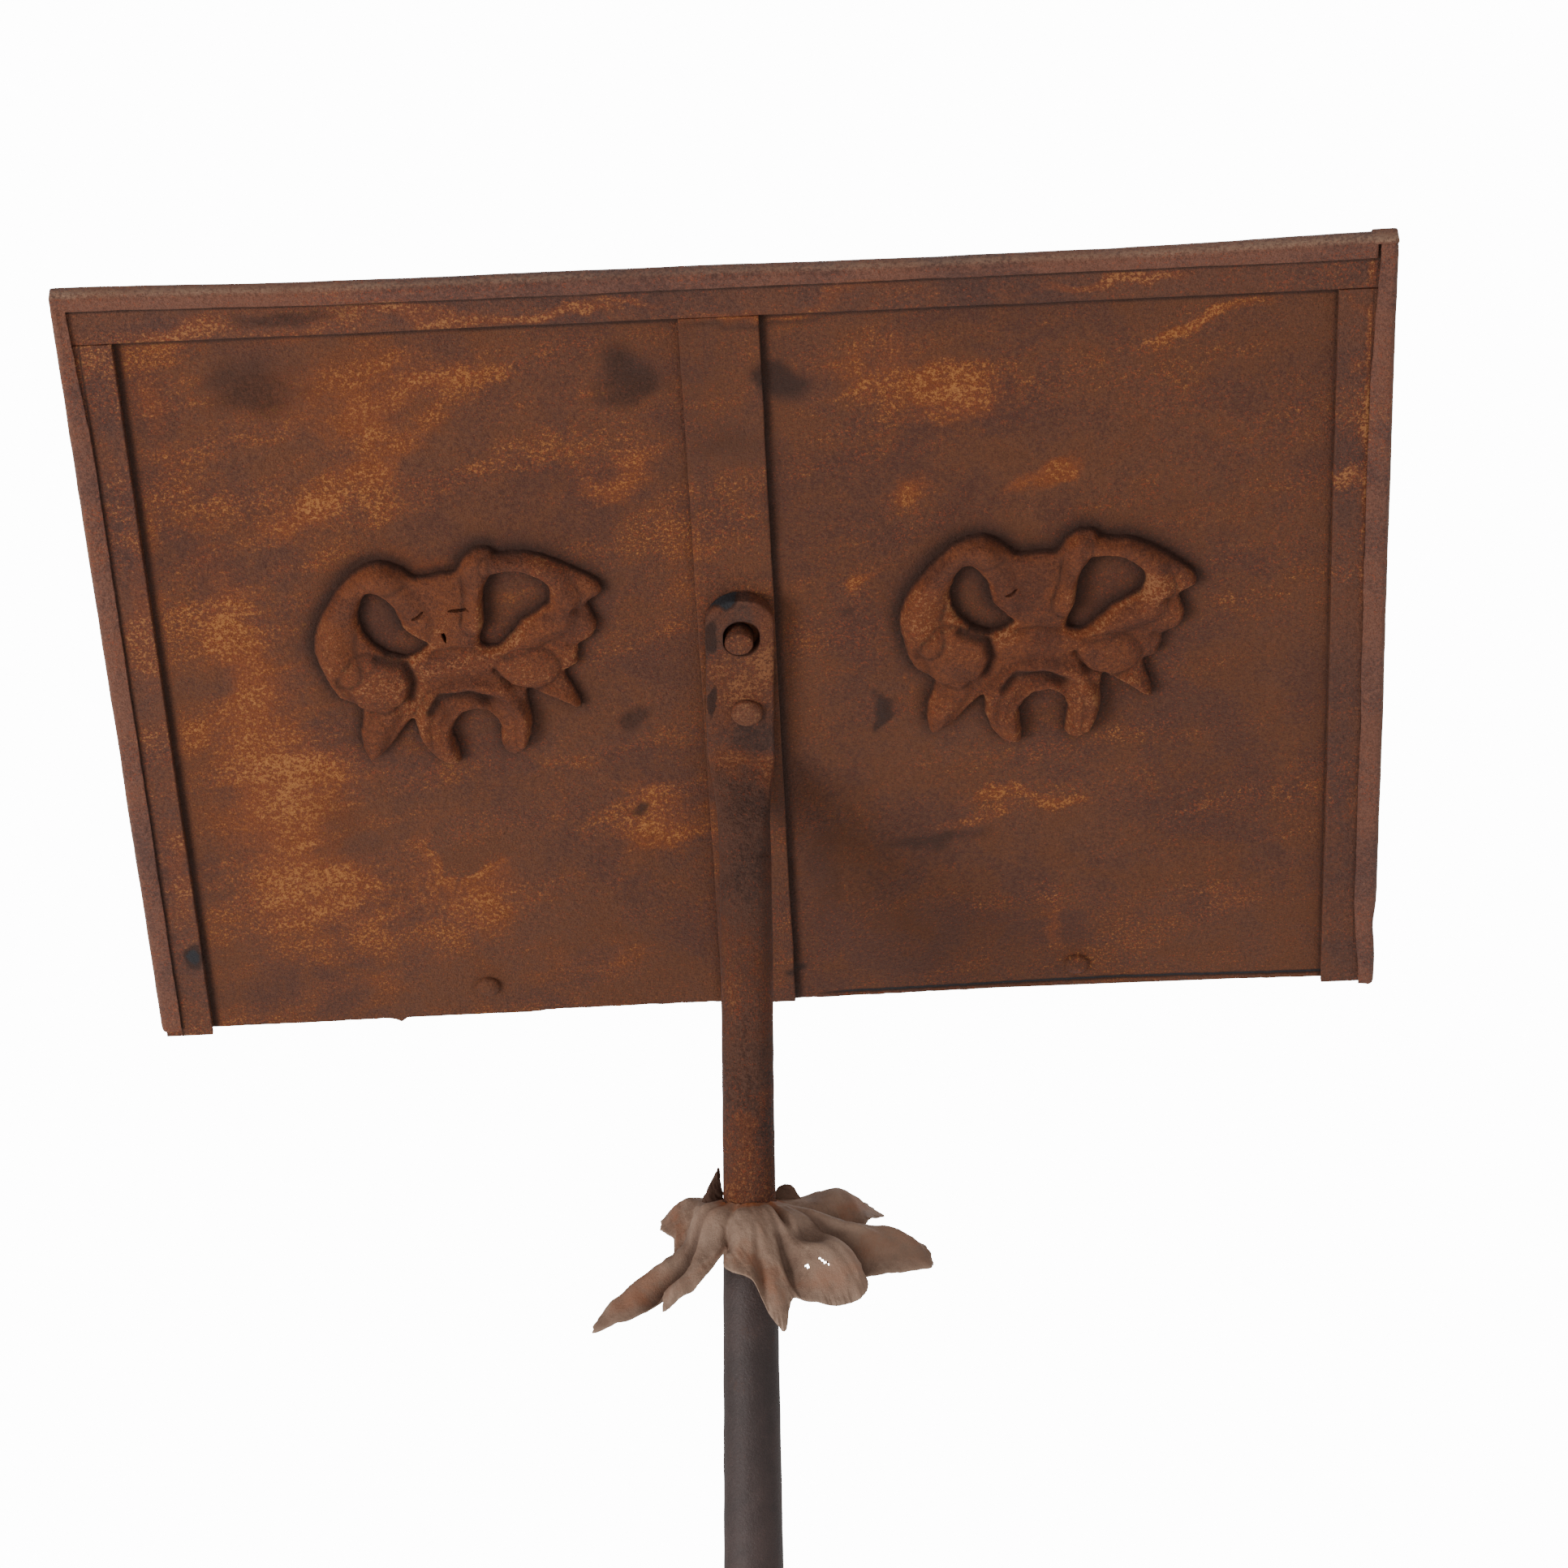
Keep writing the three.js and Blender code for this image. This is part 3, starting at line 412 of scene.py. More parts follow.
def leaf_material():
    s = Shader("leaf_dust")
    warm, dark, pale = s.stain_and_shading()
    broad = s.noise(45, 5, 0.6)
    cloud = s.noise(160, 5, 0.65)
    fine = s.noise(900, 4, 0.7)
    tone = s.blend((broad, 0.5), (cloud, 0.4), (fine, 0.15))
    colour = s.mix(s.span(tone, 0.40, 0.64), linear(116, 90, 74), linear(150, 124, 106))
    brown = s.span(s.blend((cloud, 0.6), (broad, 0.5), (warm, 0.5)), 0.62, 0.82)
    colour = s.mix(s.math("MULTIPLY", brown, 0.5), colour, linear(120, 82, 62))
    colour = s.mix(s.math("MULTIPLY", warm, s.span(cloud, 0.3, 0.6)), colour, linear(138, 78, 42))
    speck = s.span(s.blend((fine, 0.6), (cloud, 0.4)), 0.56, 0.66)
    colour = s.mix(s.math("MULTIPLY", speck, 0.35), colour, linear(96, 68, 54))
    # Green is painted shade in the leaf's hollows and darkens toward its rim; blue is painted highlight on the crowns,
    # and also paler along the torn rim and a ring near the neck.
    colour = s.mix(s.math("MULTIPLY", dark, 0.9), colour, linear(64, 42, 33))
    colour = s.mix(s.math("MULTIPLY", pale, 0.5), colour, linear(166, 140, 122))
    height = s.blend((cloud, 0.5), (fine, 0.35), (s.noise(2400, 2, 0.5), 0.15))
    rough = s.span(broad, 0.3, 0.7, 0.72, 0.9)
    return s.finish(colour, rough, s.bump(height, 0.0008), 0.0, 0.3)


def post_material(name, deep, base, warm, gloss):
    s = Shader(name)
    broad = s.noise(22, 5, 0.6)
    cloud = s.noise(110, 6, 0.65)
    fine = s.noise(800, 4, 0.7)
    tone = s.blend((broad, 0.55), (cloud, 0.35), (fine, 0.1))
    colour = s.mix(s.span(tone, 0.38, 0.64), linear(*deep), linear(*base))
    worn = s.span(s.blend((cloud, 0.6), (fine, 0.5)), 0.62, 0.78)
    colour = s.mix(s.math("MULTIPLY", worn, 0.6), colour, linear(*warm))
    height = s.blend((cloud, 0.5), (fine, 0.4), (s.noise(2300, 2, 0.5), 0.1))
    rough = s.span(s.blend((cloud, 0.6), (worn, 0.4)), 0.25, 0.8, gloss, gloss + 0.25)
    return s.finish(colour, rough, s.bump(height, 0.0009), 0.08, 0.35)


LEAF_DUST = leaf_material()
POST_PATINA = post_material("post_patina", (50, 38, 36), (66, 51, 48), (84, 61, 50), 0.5)
BASE_PATINA = post_material("base_patina", (54, 42, 38), (76, 58, 49), (100, 67, 46), 0.55)


# ---- where the desk is stained, and where shade and highlight are painted on it ----
def patch(x, v, centre, size, turn=0.0, soft=0.5):
    c, s = math.cos(math.radians(turn)), math.sin(math.radians(turn))
    dx, dv = x - centre[0], v - centre[1]
    d = np.hypot((dx * c + dv * s) / size[0], (-dx * s + dv * c) / size[1])
    return 1 - smooth(d, soft, 1.25)


# Orange deposits: centre (across, up), half sizes, turn in degrees, strength.
ORANGE = [
    ((-176, 122), (28, 76), 4, 1.0), ((-184, 190), (12, 60), 6, 0.55), ((-132, 284), (18, 13), 35, 1.0),
    ((-152, 244), (18, 9), 20, 1.0), ((-120, 268), (30, 10), 42, 0.7), ((-42, 256), (22, 16), 15, 0.8),
    ((-100, 300), (38, 7), 12, 0.5), ((-116, 212), (26, 16), 0, 0.6), ((-36, 96), (26, 28), 10, 0.9),
    ((-110, 72), (24, 32), 0, 0.75), ((-160, 60), (36, 22), 0, 0.3), ((78, 284), (32, 15), 4, 0.8),
    ((58, 248), (28, 13), 10, 0.95), ((110, 253), (18, 8), 42, 1.4), ((160, 310), (18, 4), 22, 1.0),
    ((166, 312), (34, 2.5), 14, 0.7), ((130, 312), (40, 5), 4, 0.4), ((59, 154), (3, 9), -24, 1.1),
    ((71, 134), (3, 9), -24, 1.1), ((44, 201), (4, 12), -22, 1.2), ((98, 92), (38, 4), -8, 0.8),
    ((78, 84), (26, 5), 6, 0.7), ((105, 36), (4, 18), 14, 0.9), ((-20, 208), (12, 60), 0, 0.4),
    ((20, 200), (10, 50), 0, 0.3), ((-60, 20), (30, 12), 0, 0.5), ((-140, 18), (50, 7), 3, 0.3),
    ((-150, 320), (20, 6), 10, 0.4), ((132, 334), (44, 3), 1, 1.4), ((40, 335), (36, 4), 1, 0.9),
    ((-108, 332), (36, 5), 2, 1.0), ((-190, 330), (16, 6), 0, 0.8), ((-30, 337), (24, 3), 0, 0.6),
    ((214, 300), (5, 9), 0, 0.8), ((219, 248), (5, 6), 0, 1.3), ((218, 268), (5, 9), 0, 0.9),
    ((217, 318), (4, 9), 0, 0.9), ((225, 290), (3, 60), 0, 0.5), ((216, 150), (6, 20), 0, 0.5),
    ((-214, 210), (6, 40), 0, 0.5), ((-214, 90), (6, 30), 0, 0.6), ((180, 40), (24, 6), 0, 0.5),
    ((52, 302), (38, 20), 0, 0.75), ((-128, 300), (50, 22), 14, 0.5), ((-60, 331), (34, 3.5), 2, 1.1),
    ((20, 331), (46, 3.5), 2, 0.9), ((-196, 292), (7, 30), 0, 0.5),
]
# Dark scale and damp stains.
DARK = [
    ((21, 299), (13, 13), 0, 1.0), ((-40, 298), (18, 17), -30, 0.8), ((-163, 300), (22, 17), 20, 0.65),
    ((66, 74), (28, 7), 8, 0.75), ((44, 146), (4, 12), 6, 1.2), ((-37, 148), (7, 8), -30, 0.7),
    ((-48, 103), (5, 4), 0, 0.9), ((36, 186), (6, 5), 0, 0.7), ((-152, 94), (16, 30), 24, 0.35),
    ((-118, 290), (40, 8), 18, 0.3), ((20, 60), (10, 50), 0, 0.45), ((-92, 90), (8, 14), 0, 0.35),
    ((-211, 37), (4.5, 10), -15, 1.5), ((9, 13), (5, 2.2), 0, 1.3), ((14, 245), (6, 45), 0, 0.5),
    ((-150, 331.5), (26, 6), 0, 0.7), ((10, 326), (44, 3), 2, 0.6), ((60, 40), (60, 14), 4, 0.3),
]


def node_outline(node, lean, centre):
    """Closed loops of the plate's outer face, in the ornament's own coordinates."""
    mesh = frame["nodes"][node].data
    back = DESK.inverted()
    points = np.array([back @ v.co for v in mesh.vertices]) / MM
    top = points[:, 2].max()
    count, loops_of = {}, {}
    key = lambda i: (round(points[i, 0], 2), round(points[i, 1], 2))
    for poly in mesh.polygons:
        ring = list(poly.vertices)
        if all(points[i, 2] > top - 0.1 for i in ring):
            for p, q in zip(ring, ring[1:] + ring[:1]):
                a, b = key(p), key(q)
                if (b, a) in count:
                    del count[(b, a)]
                else:
                    count[(a, b)] = True
    follow = dict(count.keys())
    loops = []
    while follow:
        start, here = next(iter(follow.items()))
        del follow[start]
        loop = [start]
        while here != start:
            loop.append(here)
            here = follow.pop(here)
        loops.append(np.array(loop))
    c, s = math.cos(math.radians(-lean)), math.sin(math.radians(-lean))
    turned = []
    for loop in loops:
        d = loop - np.array(centre)
        turned.append(np.stack([d[:, 0] * c - d[:, 1] * s, d[:, 0] * s + d[:, 1] * c], 1))
    return turned


def resample(loop, step):
    closed = np.vstack([loop, loop[:1]])
    length = np.concatenate([[0], np.cumsum(np.hypot(*np.diff(closed, axis=0).T))])
    count = max(8, int(length[-1] / step))
    at = np.arange(count) / count * length[-1]
    return np.stack([np.interp(at, length, closed[:, 0]), np.interp(at, length, closed[:, 1])], 1)


def area_of(loop):
    x, y = loop.T
    return 0.5 * np.sum(x * np.roll(y, -1) - y * np.roll(x, -1))


def distance_to(points, line, closed=False):
    line = np.asarray(line, float)
    if closed:
        line = np.vstack([line, line[:1]])
    best = np.full(len(points), 1e9)
    for a, b in zip(line[:-1], line[1:]):
        d = b - a
        t = np.clip(((points - a) @ d) / max(d @ d, 1e-9), 0, 1)
        best = np.minimum(best, np.hypot(*(points - a - t[:, None] * d).T))
    return best


def inside(points, loop):
    x, y = points.T
    hit = np.zeros(len(points), bool)
    for (x0, y0), (x1, y1) in zip(loop, np.roll(loop, -1, 0)):
        crosses = (y0 > y) != (y1 > y)
        with np.errstate(divide="ignore", invalid="ignore"):
            hit ^= crosses & (x < (x1 - x0) * (y - y0) / (y1 - y0) + x0)
    return hit


def desk_stain(points):
    x, v = points[:, 0], points[:, 1]
    x, v = x + 11 * fbm(x / 24, v / 24, 5), v + 11 * fbm(x / 24 + 9, v / 24, 6)
    warm, dark = 0 * x, 0 * x
    for centre, size, turn, strength in ORANGE:
        warm = warm + strength * patch(x, v, centre, size, turn, 0.0) * (1 - 0.6 * np.clip(warm, 0, 1))
    for centre, size, turn, strength in DARK:
        dark = np.maximum(dark, strength * patch(x, v, centre, size, turn, 0.3))
    warm = warm * (0.85 + 0.5 * fbm(x / 14, v / 14, 7))
    warm = warm + 0.26 * smooth(-x, 0, 150) - 0.05 * smooth(x, 60, 150)
    return np.stack([np.clip(warm, 0, 1.1), np.clip(dark, 0, 1.6), 0 * x], 1)


def strap_stain(points):
    values = desk_stain(points)
    values[:, 0] = np.clip(values[:, 0] + 0.12, 0, 1.1)
    values[:, 1] = np.maximum(values[:, 1], 0.2 + 0.4 * fbm(points[:, 0] / 20, points[:, 1] / 30, 15))
    return values


def line_shade(distance, width):
    """Painted shade along a seam, to one side of it."""
    return np.where(distance < 0, 0, np.exp(-((distance / width) ** 2)))


# Slits through the ornaments: centre, half length, half width, turn.
SLITS = {
    "left": [((-14.5, 22.5), 2.9, 0.75, 36), ((0.2, 24), 4.0, 0.85, 2), ((-6, 12), 0.8, 2.6, 8)],
    "right": [((-14.5, 22.5), 2.7, 0.7, 38)],
}


def lower_gap(x, height):
    """The gap above the strip along the sheet's lower edge, on its right half: the sheet dips into it and it is painted
    with shade.
    """
    return smooth(x, 12, 34) * np.exp(-(((height - 2.2 - 0.5 * smooth(x, 30, 200)) / 0.95) ** 2))


def panel_stain_and_shade(points):
    x, v = points[:, 0], points[:, 1]
    values = desk_stain(points)
    # Painted shade: below the top band, beside the side bands and the strap (wider on their right sides), round each
    # ornament (heavier above and to the left), on the sheet seen through the slits and in the gap along the lower edge.
    below = LENGTH - TOP_BAND - 1.4 - v
    painted_shade = np.where(below < 0, 1, np.exp(-((below / 1.5) ** 2)))
    painted_shade = np.maximum(painted_shade, line_shade(x + HALF - SIDE_BAND + 1.0, 3.2))
    painted_shade = np.maximum(painted_shade, 0.7 * line_shade(HALF - SIDE_BAND - x, 1.6))
    painted_shade = np.maximum(painted_shade, line_shade(x - STRAP_X - STRAP_HALF + 0.5, 3.6))
    painted_shade = np.maximum(painted_shade, 0.6 * line_shade(STRAP_X - STRAP_HALF - x + 0.5, 1.4))
    for side, centre, lean in ORNAMENTS:
        near = np.hypot(x - centre[0], v - centre[1]) < 70
        local = points[near][:, :2] - centre
        c, s = math.cos(math.radians(lean)), math.sin(math.radians(lean))
        local = np.stack([local[:, 0] * c + local[:, 1] * s, local[:, 1] * c - local[:, 0] * s], 1)
        loops = node_outline(f"ornament_{side}", lean, centre)
        gap = np.min([distance_to(local, loop, True) for loop in loops], 0)
        shade_above = 0.75 + 0.35 * smooth(local[:, 1] - 0.5 * local[:, 0], -30, 40)
        painted_shade[near] = np.maximum(painted_shade[near], shade_above * np.exp(-gap / 5.5))
        for place, long, wide, turn in SLITS[side]:
            slit_shade = patch(*local.T, place, (long + 1, wide + 1.5), turn, 0.8)
            painted_shade[near] = np.maximum(painted_shade[near], 1.6 * slit_shade)
    painted_shade = np.maximum(painted_shade, 1.6 * lower_gap(x, v - foot_line(x)))
    values[:, 1] = np.maximum(values[:, 1], np.clip(painted_shade, 0, 1.6))
    read = points[:, 2] < -SHEET * 0.75
    values[read] = desk_stain(points[read] * [-0.8, 0.9, 1] + [20, 60, 0])
    return values


def band_stain_and_shade(points):
    x, v = points[:, 0], points[:, 1]
    values = desk_stain(points)
    # Painted shade under the bindings' flange edges and along the bands' lower walls where they meet the sheet; the lip
    # line is orange rust.
    below = LENGTH - 8.3 + TOP_TAPER * smooth(-x, 100, 228) - v
    painted_shade = np.where(below < 0, 1, np.exp(-((below / 0.9) ** 2))) + line_shade(HALF - 6.0 - abs(x), 0.9)
    low = 1 - smooth(points[:, 2], GAP + 0.8, GAP + BAND_THICK - 0.2)
    lip = smooth(x, 200, 218) * np.exp(-(((HALF - 7.4 - x) / 1.1) ** 2)) * smooth(v, 120, 200)
    values[:, 0] = np.clip(values[:, 0] * smooth(v, 0, 60) + lip * (0.6 + fbm(x / 4, v / 9, 17)), 0, 1.1)
    values[:, 1] = np.maximum(values[:, 1], 0.9 * np.clip(painted_shade + low, 0, 1))
    return values


def hem_stain_and_highlight(points):
    x, v, w = points.T
    values = desk_stain(points)
    # Blue marks the outer roll on its back face as worn iron: partly wear, partly painted highlight.
    out = np.maximum(smooth(abs(x), HALF + 0.4, HALF + 1.6), smooth(v, LENGTH + 0.2, LENGTH + 1.5))
    scuffs_and_highlight = 0.75 + 0.25 * smooth(v, LENGTH - 3, LENGTH) + 0.7 * fbm(x / 16, v / 16, 12)
    values[:, 0] = values[:, 0] * (0.6 + 0.35 * smooth(v, LENGTH - 12, LENGTH - 6))
    values[:, 2] = out * np.clip(scuffs_and_highlight, 0, 1) * smooth(w, -1, 2)
    return values


# ---- desk sheet ----
# Height of the sheet's lower edge at its left corner, on the left, after the step beside the left rivet,
# at its crest right of the strap and at its right corner.
FOOT_CORNER = -0.6
FOOT_LEFT = 0.2
FOOT_STEP = 1.4
FOOT_CREST = 2.8
FOOT_RIGHT = 1.2


def foot_line(x):
    low = FOOT_CORNER + (FOOT_LEFT - FOOT_CORNER) * smooth(x, -HALF, -110)
    low = low + (FOOT_STEP - FOOT_LEFT) * smooth(x, -92, -76)
    low = low + (FOOT_CREST - FOOT_STEP) * smooth(x, 0, 140)
    low = low + (FOOT_RIGHT - FOOT_CREST) * smooth(x, 126, 208)
    return low + 0.28 * fbm(x / 5, 0.5 + 0 * x, 31) + 0.2 * noise(x / 1.7, 0.5, 32)


def dent(x, v):
    window = smooth(x, -208, -180) * (1 - smooth(x, 180, 208)) * smooth(v, 40, 70) * (1 - smooth(v, 296, 322))
    window = window * smooth(abs(x - STRAP_X), 16, 44)
    return -window * (0.5 + 0.9 * fbm(x / 90, v / 90, 41)) + 0.05 * fbm(x / 12, v / 12, 42) - 0.06


def make_panel():
    close = np.array([-2.6, -1.4, -0.5, 0.4, 1.2, 2.2, 3.4, 4.8])
    across = [side * (HALF - SIDE_BAND) - side * close for side in (-1, 1)]
    across += [STRAP_X + side * (STRAP_HALF + close) for side in (-1, 1)]
    x = np.unique(np.concatenate([np.linspace(-HALF, HALF, 200)] + across))[None, :]
    gap_rows = np.arange(1.0, 4.2, 0.4)
    rows = [np.linspace(0, 1, 152), (LENGTH - TOP_BAND - close) / LENGTH, gap_rows / LENGTH]
    t = np.unique(np.concatenate(rows))[:, None]
    low = foot_line(x)
    hook = 2.6 * np.exp(-((x + 139.6) / 1.3) ** 2)
    v = low - hook * (1 - smooth(t * LENGTH, 0, 4)) + t * (LENGTH - low)
    x = x + 0 * v
    w = dent(x, v) - 0.5 * lower_gap(x, t * LENGTH)
    top = np.stack([x, v, w], -1)
    verts, faces = slab(top, top - [0, 0, SHEET])
    piece("desk_panel_rusted", verts, faces, "desk", ["desk_panel"], SHEET_RUST, DESK,
          stain_and_shading=panel_stain_and_shade)


make_panel()


# ---- bands and strap ----
def flat_bar(name, node, material, start, end, edge0, edge1, w0, w1, along_x, seed, stain_and_shading=desk_stain):
    steps = max(24, int((end - start) / 2.4))
    s = np.linspace(start, end, steps)
    e0 = edge0 + 0.22 * fbm(s / 26, 0.5 + 0 * s, seed) + 0.08 * noise(s / 3, 0.5, seed + 3)
    e1 = edge1 + 0.22 * fbm(s / 26, 0.5 + 0 * s, seed + 7) + 0.08 * noise(s / 3, 0.5, seed + 11)
    rings = bar_section(e0, e1, w0 + 0 * s, w1 + 0 * s, 0.45, cells=26)
    a, b = rings[..., 0], rings[..., 1]
    along = s[:, None] + 0 * a
    top = smooth(b, w0 + 0.6 * (w1 - w0), w1)
    b = b + top * (0.10 * fbm(along / 9, a / 9, seed + 20) - 0.05)
    verts, faces = skin(np.stack([along, a, b] if along_x else [a, along, b], -1))
    return piece(name, verts, faces, "desk", [node], material, DESK, stain_and_shading=stain_and_shading)


split = LENGTH - TOP_BAND + 1.5
flat_bar("top_band_rusted", "top_band", EDGE_RUST, -HALF, HALF, split - 0.9, LENGTH, GAP,
         GAP + BAND_THICK, True, 100, stain_and_shading=band_stain_and_shade)
flat_bar("left_band_rusted", "left_band", EDGE_RUST, -1.8, split - GAP - 0.9, -HALF,
         SIDE_BAND - HALF - 1.0, GAP, GAP + BAND_THICK, False, 130, stain_and_shading=band_stain_and_shade)
flat_bar("right_band_rusted", "right_band", EDGE_RUST, 0.8, split - GAP - 0.9, HALF - SIDE_BAND,
         HALF, GAP, GAP + BAND_THICK, False, 160, stain_and_shading=band_stain_and_shade)
flat_bar("centre_strap_rusted", "centre_strap", SHEET_RUST, 2.5, split - GAP - 0.9,
         STRAP_X - STRAP_HALF, STRAP_X + STRAP_HALF, GAP, GAP + STRAP_THICK, False, 190, stain_and_shading=strap_stain)


# ---- folded bindings ----
def hem(name, node, start, end, edge, back_width, place, seed, lift=0.0, pinch=None, steps=170, tongue=False):
    """A strip folded over an edge and swept along it. place turns (along, out, off) into desk points."""
    tip = np.array([0, 0.25, 0.7, 1.3, 2.1])
    s = np.concatenate([start + tip, np.linspace(start + 3, end - 3, steps), (end - tip)[::-1]])[:, None]
    back = GAP + BAND_THICK + 0.12 + lift
    outer = edge + GAP + HEM_THICK
    front = -SHEET - GAP
    t = 1.05
    fold = 2.6
    section = np.concatenate([
        [(outer - back_width, back + t - 0.35), (outer - back_width, back + 0.1), (outer - back_width + 0.5, back)],
        [(edge + GAP, back), (edge + GAP, front), (outer - 7, front), (outer - 7, front - t)],
        arc(outer - fold, front - t + fold, fold, -90, 0, 5),
        arc(outer - fold, back + t - fold + 0.5, fold, 0, 90, 6),
        [(outer - back_width * 0.5 - 1.2, back + t + 0.25), (outer - back_width + 1.4, back + t)],
    ])
    p = section[None, :, 0] + 0 * s
    w = section[None, :, 1] + 0 * s
    rim = smooth(p, edge - back_width, outer - back_width + 1.0)
    leaf = (1 - smooth(p, outer - back_width, outer - back_width + 2.5)) * smooth(w, back - 0.2, back)
    p = p + leaf * (0.35 * fbm(s / 17, 0.5 + 0 * p, seed) + 0.12 * noise(s / 2.5, 0.5, seed + 2))
    out = smooth(p, edge - 0.5, outer) * rim
    p = p + out * (0.28 * fbm(s / 24, 0.5 + 0 * p, seed + 4) - 0.2)
    w = w + smooth(w, back - 0.1, back + t) * (0.16 * fbm(s / 14, p / 8, seed + 6))
    if pinch is not None:
        p, w = pinch(s, p, w)
    near = np.clip(1 - np.minimum(s - start, end - s) / 2.1, 0, 1)
    shut = 0.7 * (1 - np.sqrt(1 - near**2 * 0.98))
    p = p - shut * smooth(p, edge, outer)
    w = w - shut * smooth(w, back, back + t) + shut * (1 - smooth(w, front - t, front))
    verts, faces = skin(place(s + 0 * p, p, w))
    if tongue:
        s = end + np.array([-0.2, 0.35, 0.8, 1.1, 1.2])
        inset = np.array([0, 0, 0.15, 0.5, 1.0])
        rings = bar_section(outer - back_width - 0.8 + inset, outer - inset - 0.2, front - t + inset,
                            back + t + 0.2 - inset, 0.8, cells=4)
        more, extra = skin(place(s[:, None] + 0 * rings[..., 0], rings[..., 0], rings[..., 1]))
        faces = faces + [[i + len(verts) for i in face] for face in extra]
        verts = np.concatenate([verts, more])
    piece(name, verts, faces, "desk", [node], HEM_RUST_HIGHLIT, DESK, sharp=50, stain_and_shading=hem_stain_and_highlight)


def pinch_top(s, p, w):
    """The top binding is narrower toward the left and its fold sags a little at mid length."""
    lip = (1 - smooth(p, LENGTH - 6, LENGTH - 1)) * smooth(w, 0, 1)
    sag = 0.54 * np.cos(s / HALF * math.pi / 2) * smooth(p, LENGTH - 9, LENGTH)
    return p + TOP_TAPER * smooth(-s, 100, 228) * lip - sag, w


def pinch_left(s, p, w):
    """The left binding's flange narrows toward the top corner."""
    lip = (1 - smooth(p, HALF - 4, HALF - 0.5)) * smooth(w, 0, 1)
    return p + 2.4 * smooth(s, LENGTH - 70, LENGTH - 4) * lip, w


def pinch_right(s, p, w):
    """The right binding is knocked in near its lower end, where its flange runs out."""
    near = np.exp(-((s - 30) / 9) ** 2) + 0.3 * smooth(s, LENGTH - 8, LENGTH + 1)
    out = smooth(p, HALF - 2, HALF + 1.7)
    lip = (1 - smooth(p, HALF - 4, HALF - 0.5)) * smooth(w, 0, 1)
    p = p + (2.4 * (1 - smooth(s, 2, 42)) + 2.0 * smooth(s, LENGTH - 70, LENGTH)) * lip
    return p - 0.9 * near * out, w - 0.4 * near * smooth(w, 2.5, 4.5)


hem("top_hem_rolled", "top_hem", -HALF - 1.2, HALF - 5.6, LENGTH, 8.8,
    lambda s, p, w: np.stack([s, p, w], -1), 300, lift=0.4, pinch=pinch_top)
hem("left_hem_folded", "left_hem", 2.0, LENGTH - 3.4, HALF, 7.7,
    lambda s, p, w: np.stack([-p, s, w], -1), 330, lift=0.55, pinch=pinch_left)
hem("right_hem_folded", "right_hem", 0.2, LENGTH + 0.3, HALF, 8.5,
    lambda s, p, w: np.stack([p, s, w], -1), 360, lift=0.5, pinch=pinch_right,
    tongue=True)


# ---- book ledge ----
def make_ledge():
    face = -SHEET - GAP
    depth, lip, flange, t, bend = 46.0, 15.0, 30.0, 2.0, 3.0
    outer = face - depth
    drop = 0.5
    section = np.concatenate([
        [(flange - 0.4, face), (flange, face - 0.4), (flange, face - t + 0.4), (flange - 0.4, face - t)],
        arc(bend, face - bend, bend - t, 90, 180, 5),
        arc(bend, outer + bend, bend - t, 180, 270, 5),
        [(lip - 0.5, outer + t), (lip, outer + t - 0.5), (lip, outer + 0.5), (lip - 0.5, outer)],
        arc(bend, outer + bend, bend, 270, 180, 6), arc(bend, face - bend, bend, 180, 90, 6),
    ])
    s = np.linspace(-212, 212, 150)[:, None]
    p = section[None, :, 0] + 0 * s
    w = section[None, :, 1] + 0 * s
    edge = smooth(p, lip - 2, lip) * (w < outer + t + 0.1)
    p = p + edge * (0.5 * fbm(s / 22, 0.5 + 0 * p, 401) - 0.3) - drop
    w = w + smooth(face - w, 10, depth) * 0.7 * fbm(s / 70, 0.5 + 0 * p, 402)
    lean = math.atan2(LEDGE_RIVETS[1][1] - LEDGE_RIVETS[0][1], LEDGE_RIVETS[1][0] - LEDGE_RIVETS[0][0])
    x = s * math.cos(lean) - p * math.sin(lean)
    v = s * math.sin(lean) + p * math.cos(lean)
    verts, faces = skin(np.stack([x, v, w], -1))
    piece("book_ledge_bent", verts, faces, "desk", ["book_ledge"], SHEET_RUST, DESK, sharp=50)


make_ledge()


# ---- rivets and the stud ----
def dome_rivet(low, high, shank, head, dome, seed, lean=(0, 0)):
    tail = head / 2 + 0.6
    a = np.radians(np.linspace(0, 84, 9))
    crown = [(head / 2 * math.cos(k) ** 0.8, high + dome * (0.22 + 0.78 * math.sin(k) ** 0.9)) for k in a]
    profile = [(0, low - 1.6), (tail - 0.8, low - 1.6), (tail, low - 0.9), (tail, low), (shank / 2, low),
               (shank / 2, high), (head / 2, high)] + crown + [(0, high + dome)]
    verts, faces = turned_solid(profile, 48)
    x, y, z = verts.T
    high_part = smooth(z, high, high + dome)
    verts[:, 2] = z + high_part * (0.35 * fbm(x / 3 + 5, y / 3, seed) + lean[0] * x + lean[1] * y)
    edge = 1 + 0.05 * noise(np.arctan2(y, x) * 1.6 + 9, 0.5, seed + 1) * (z > high - 0.1)
    verts[:, 0], verts[:, 1] = x * edge, y * edge
    return verts, faces


for (x, v), side, seed in zip(LEDGE_RIVETS, ("left", "right"), (501, 511)):
    verts, faces = dome_rivet(-SHEET - GAP - 2.0 - GAP, 0.1, 5.0, 8.8, 2.6, seed)
    verts = verts + [x, v, 0]
    piece(f"ledge_rivet_{side}_domed", verts, faces, "desk", [f"ledge_rivet_{side}"],
          SHEET_RUST, DESK,
          stain_and_shading=desk_stain)

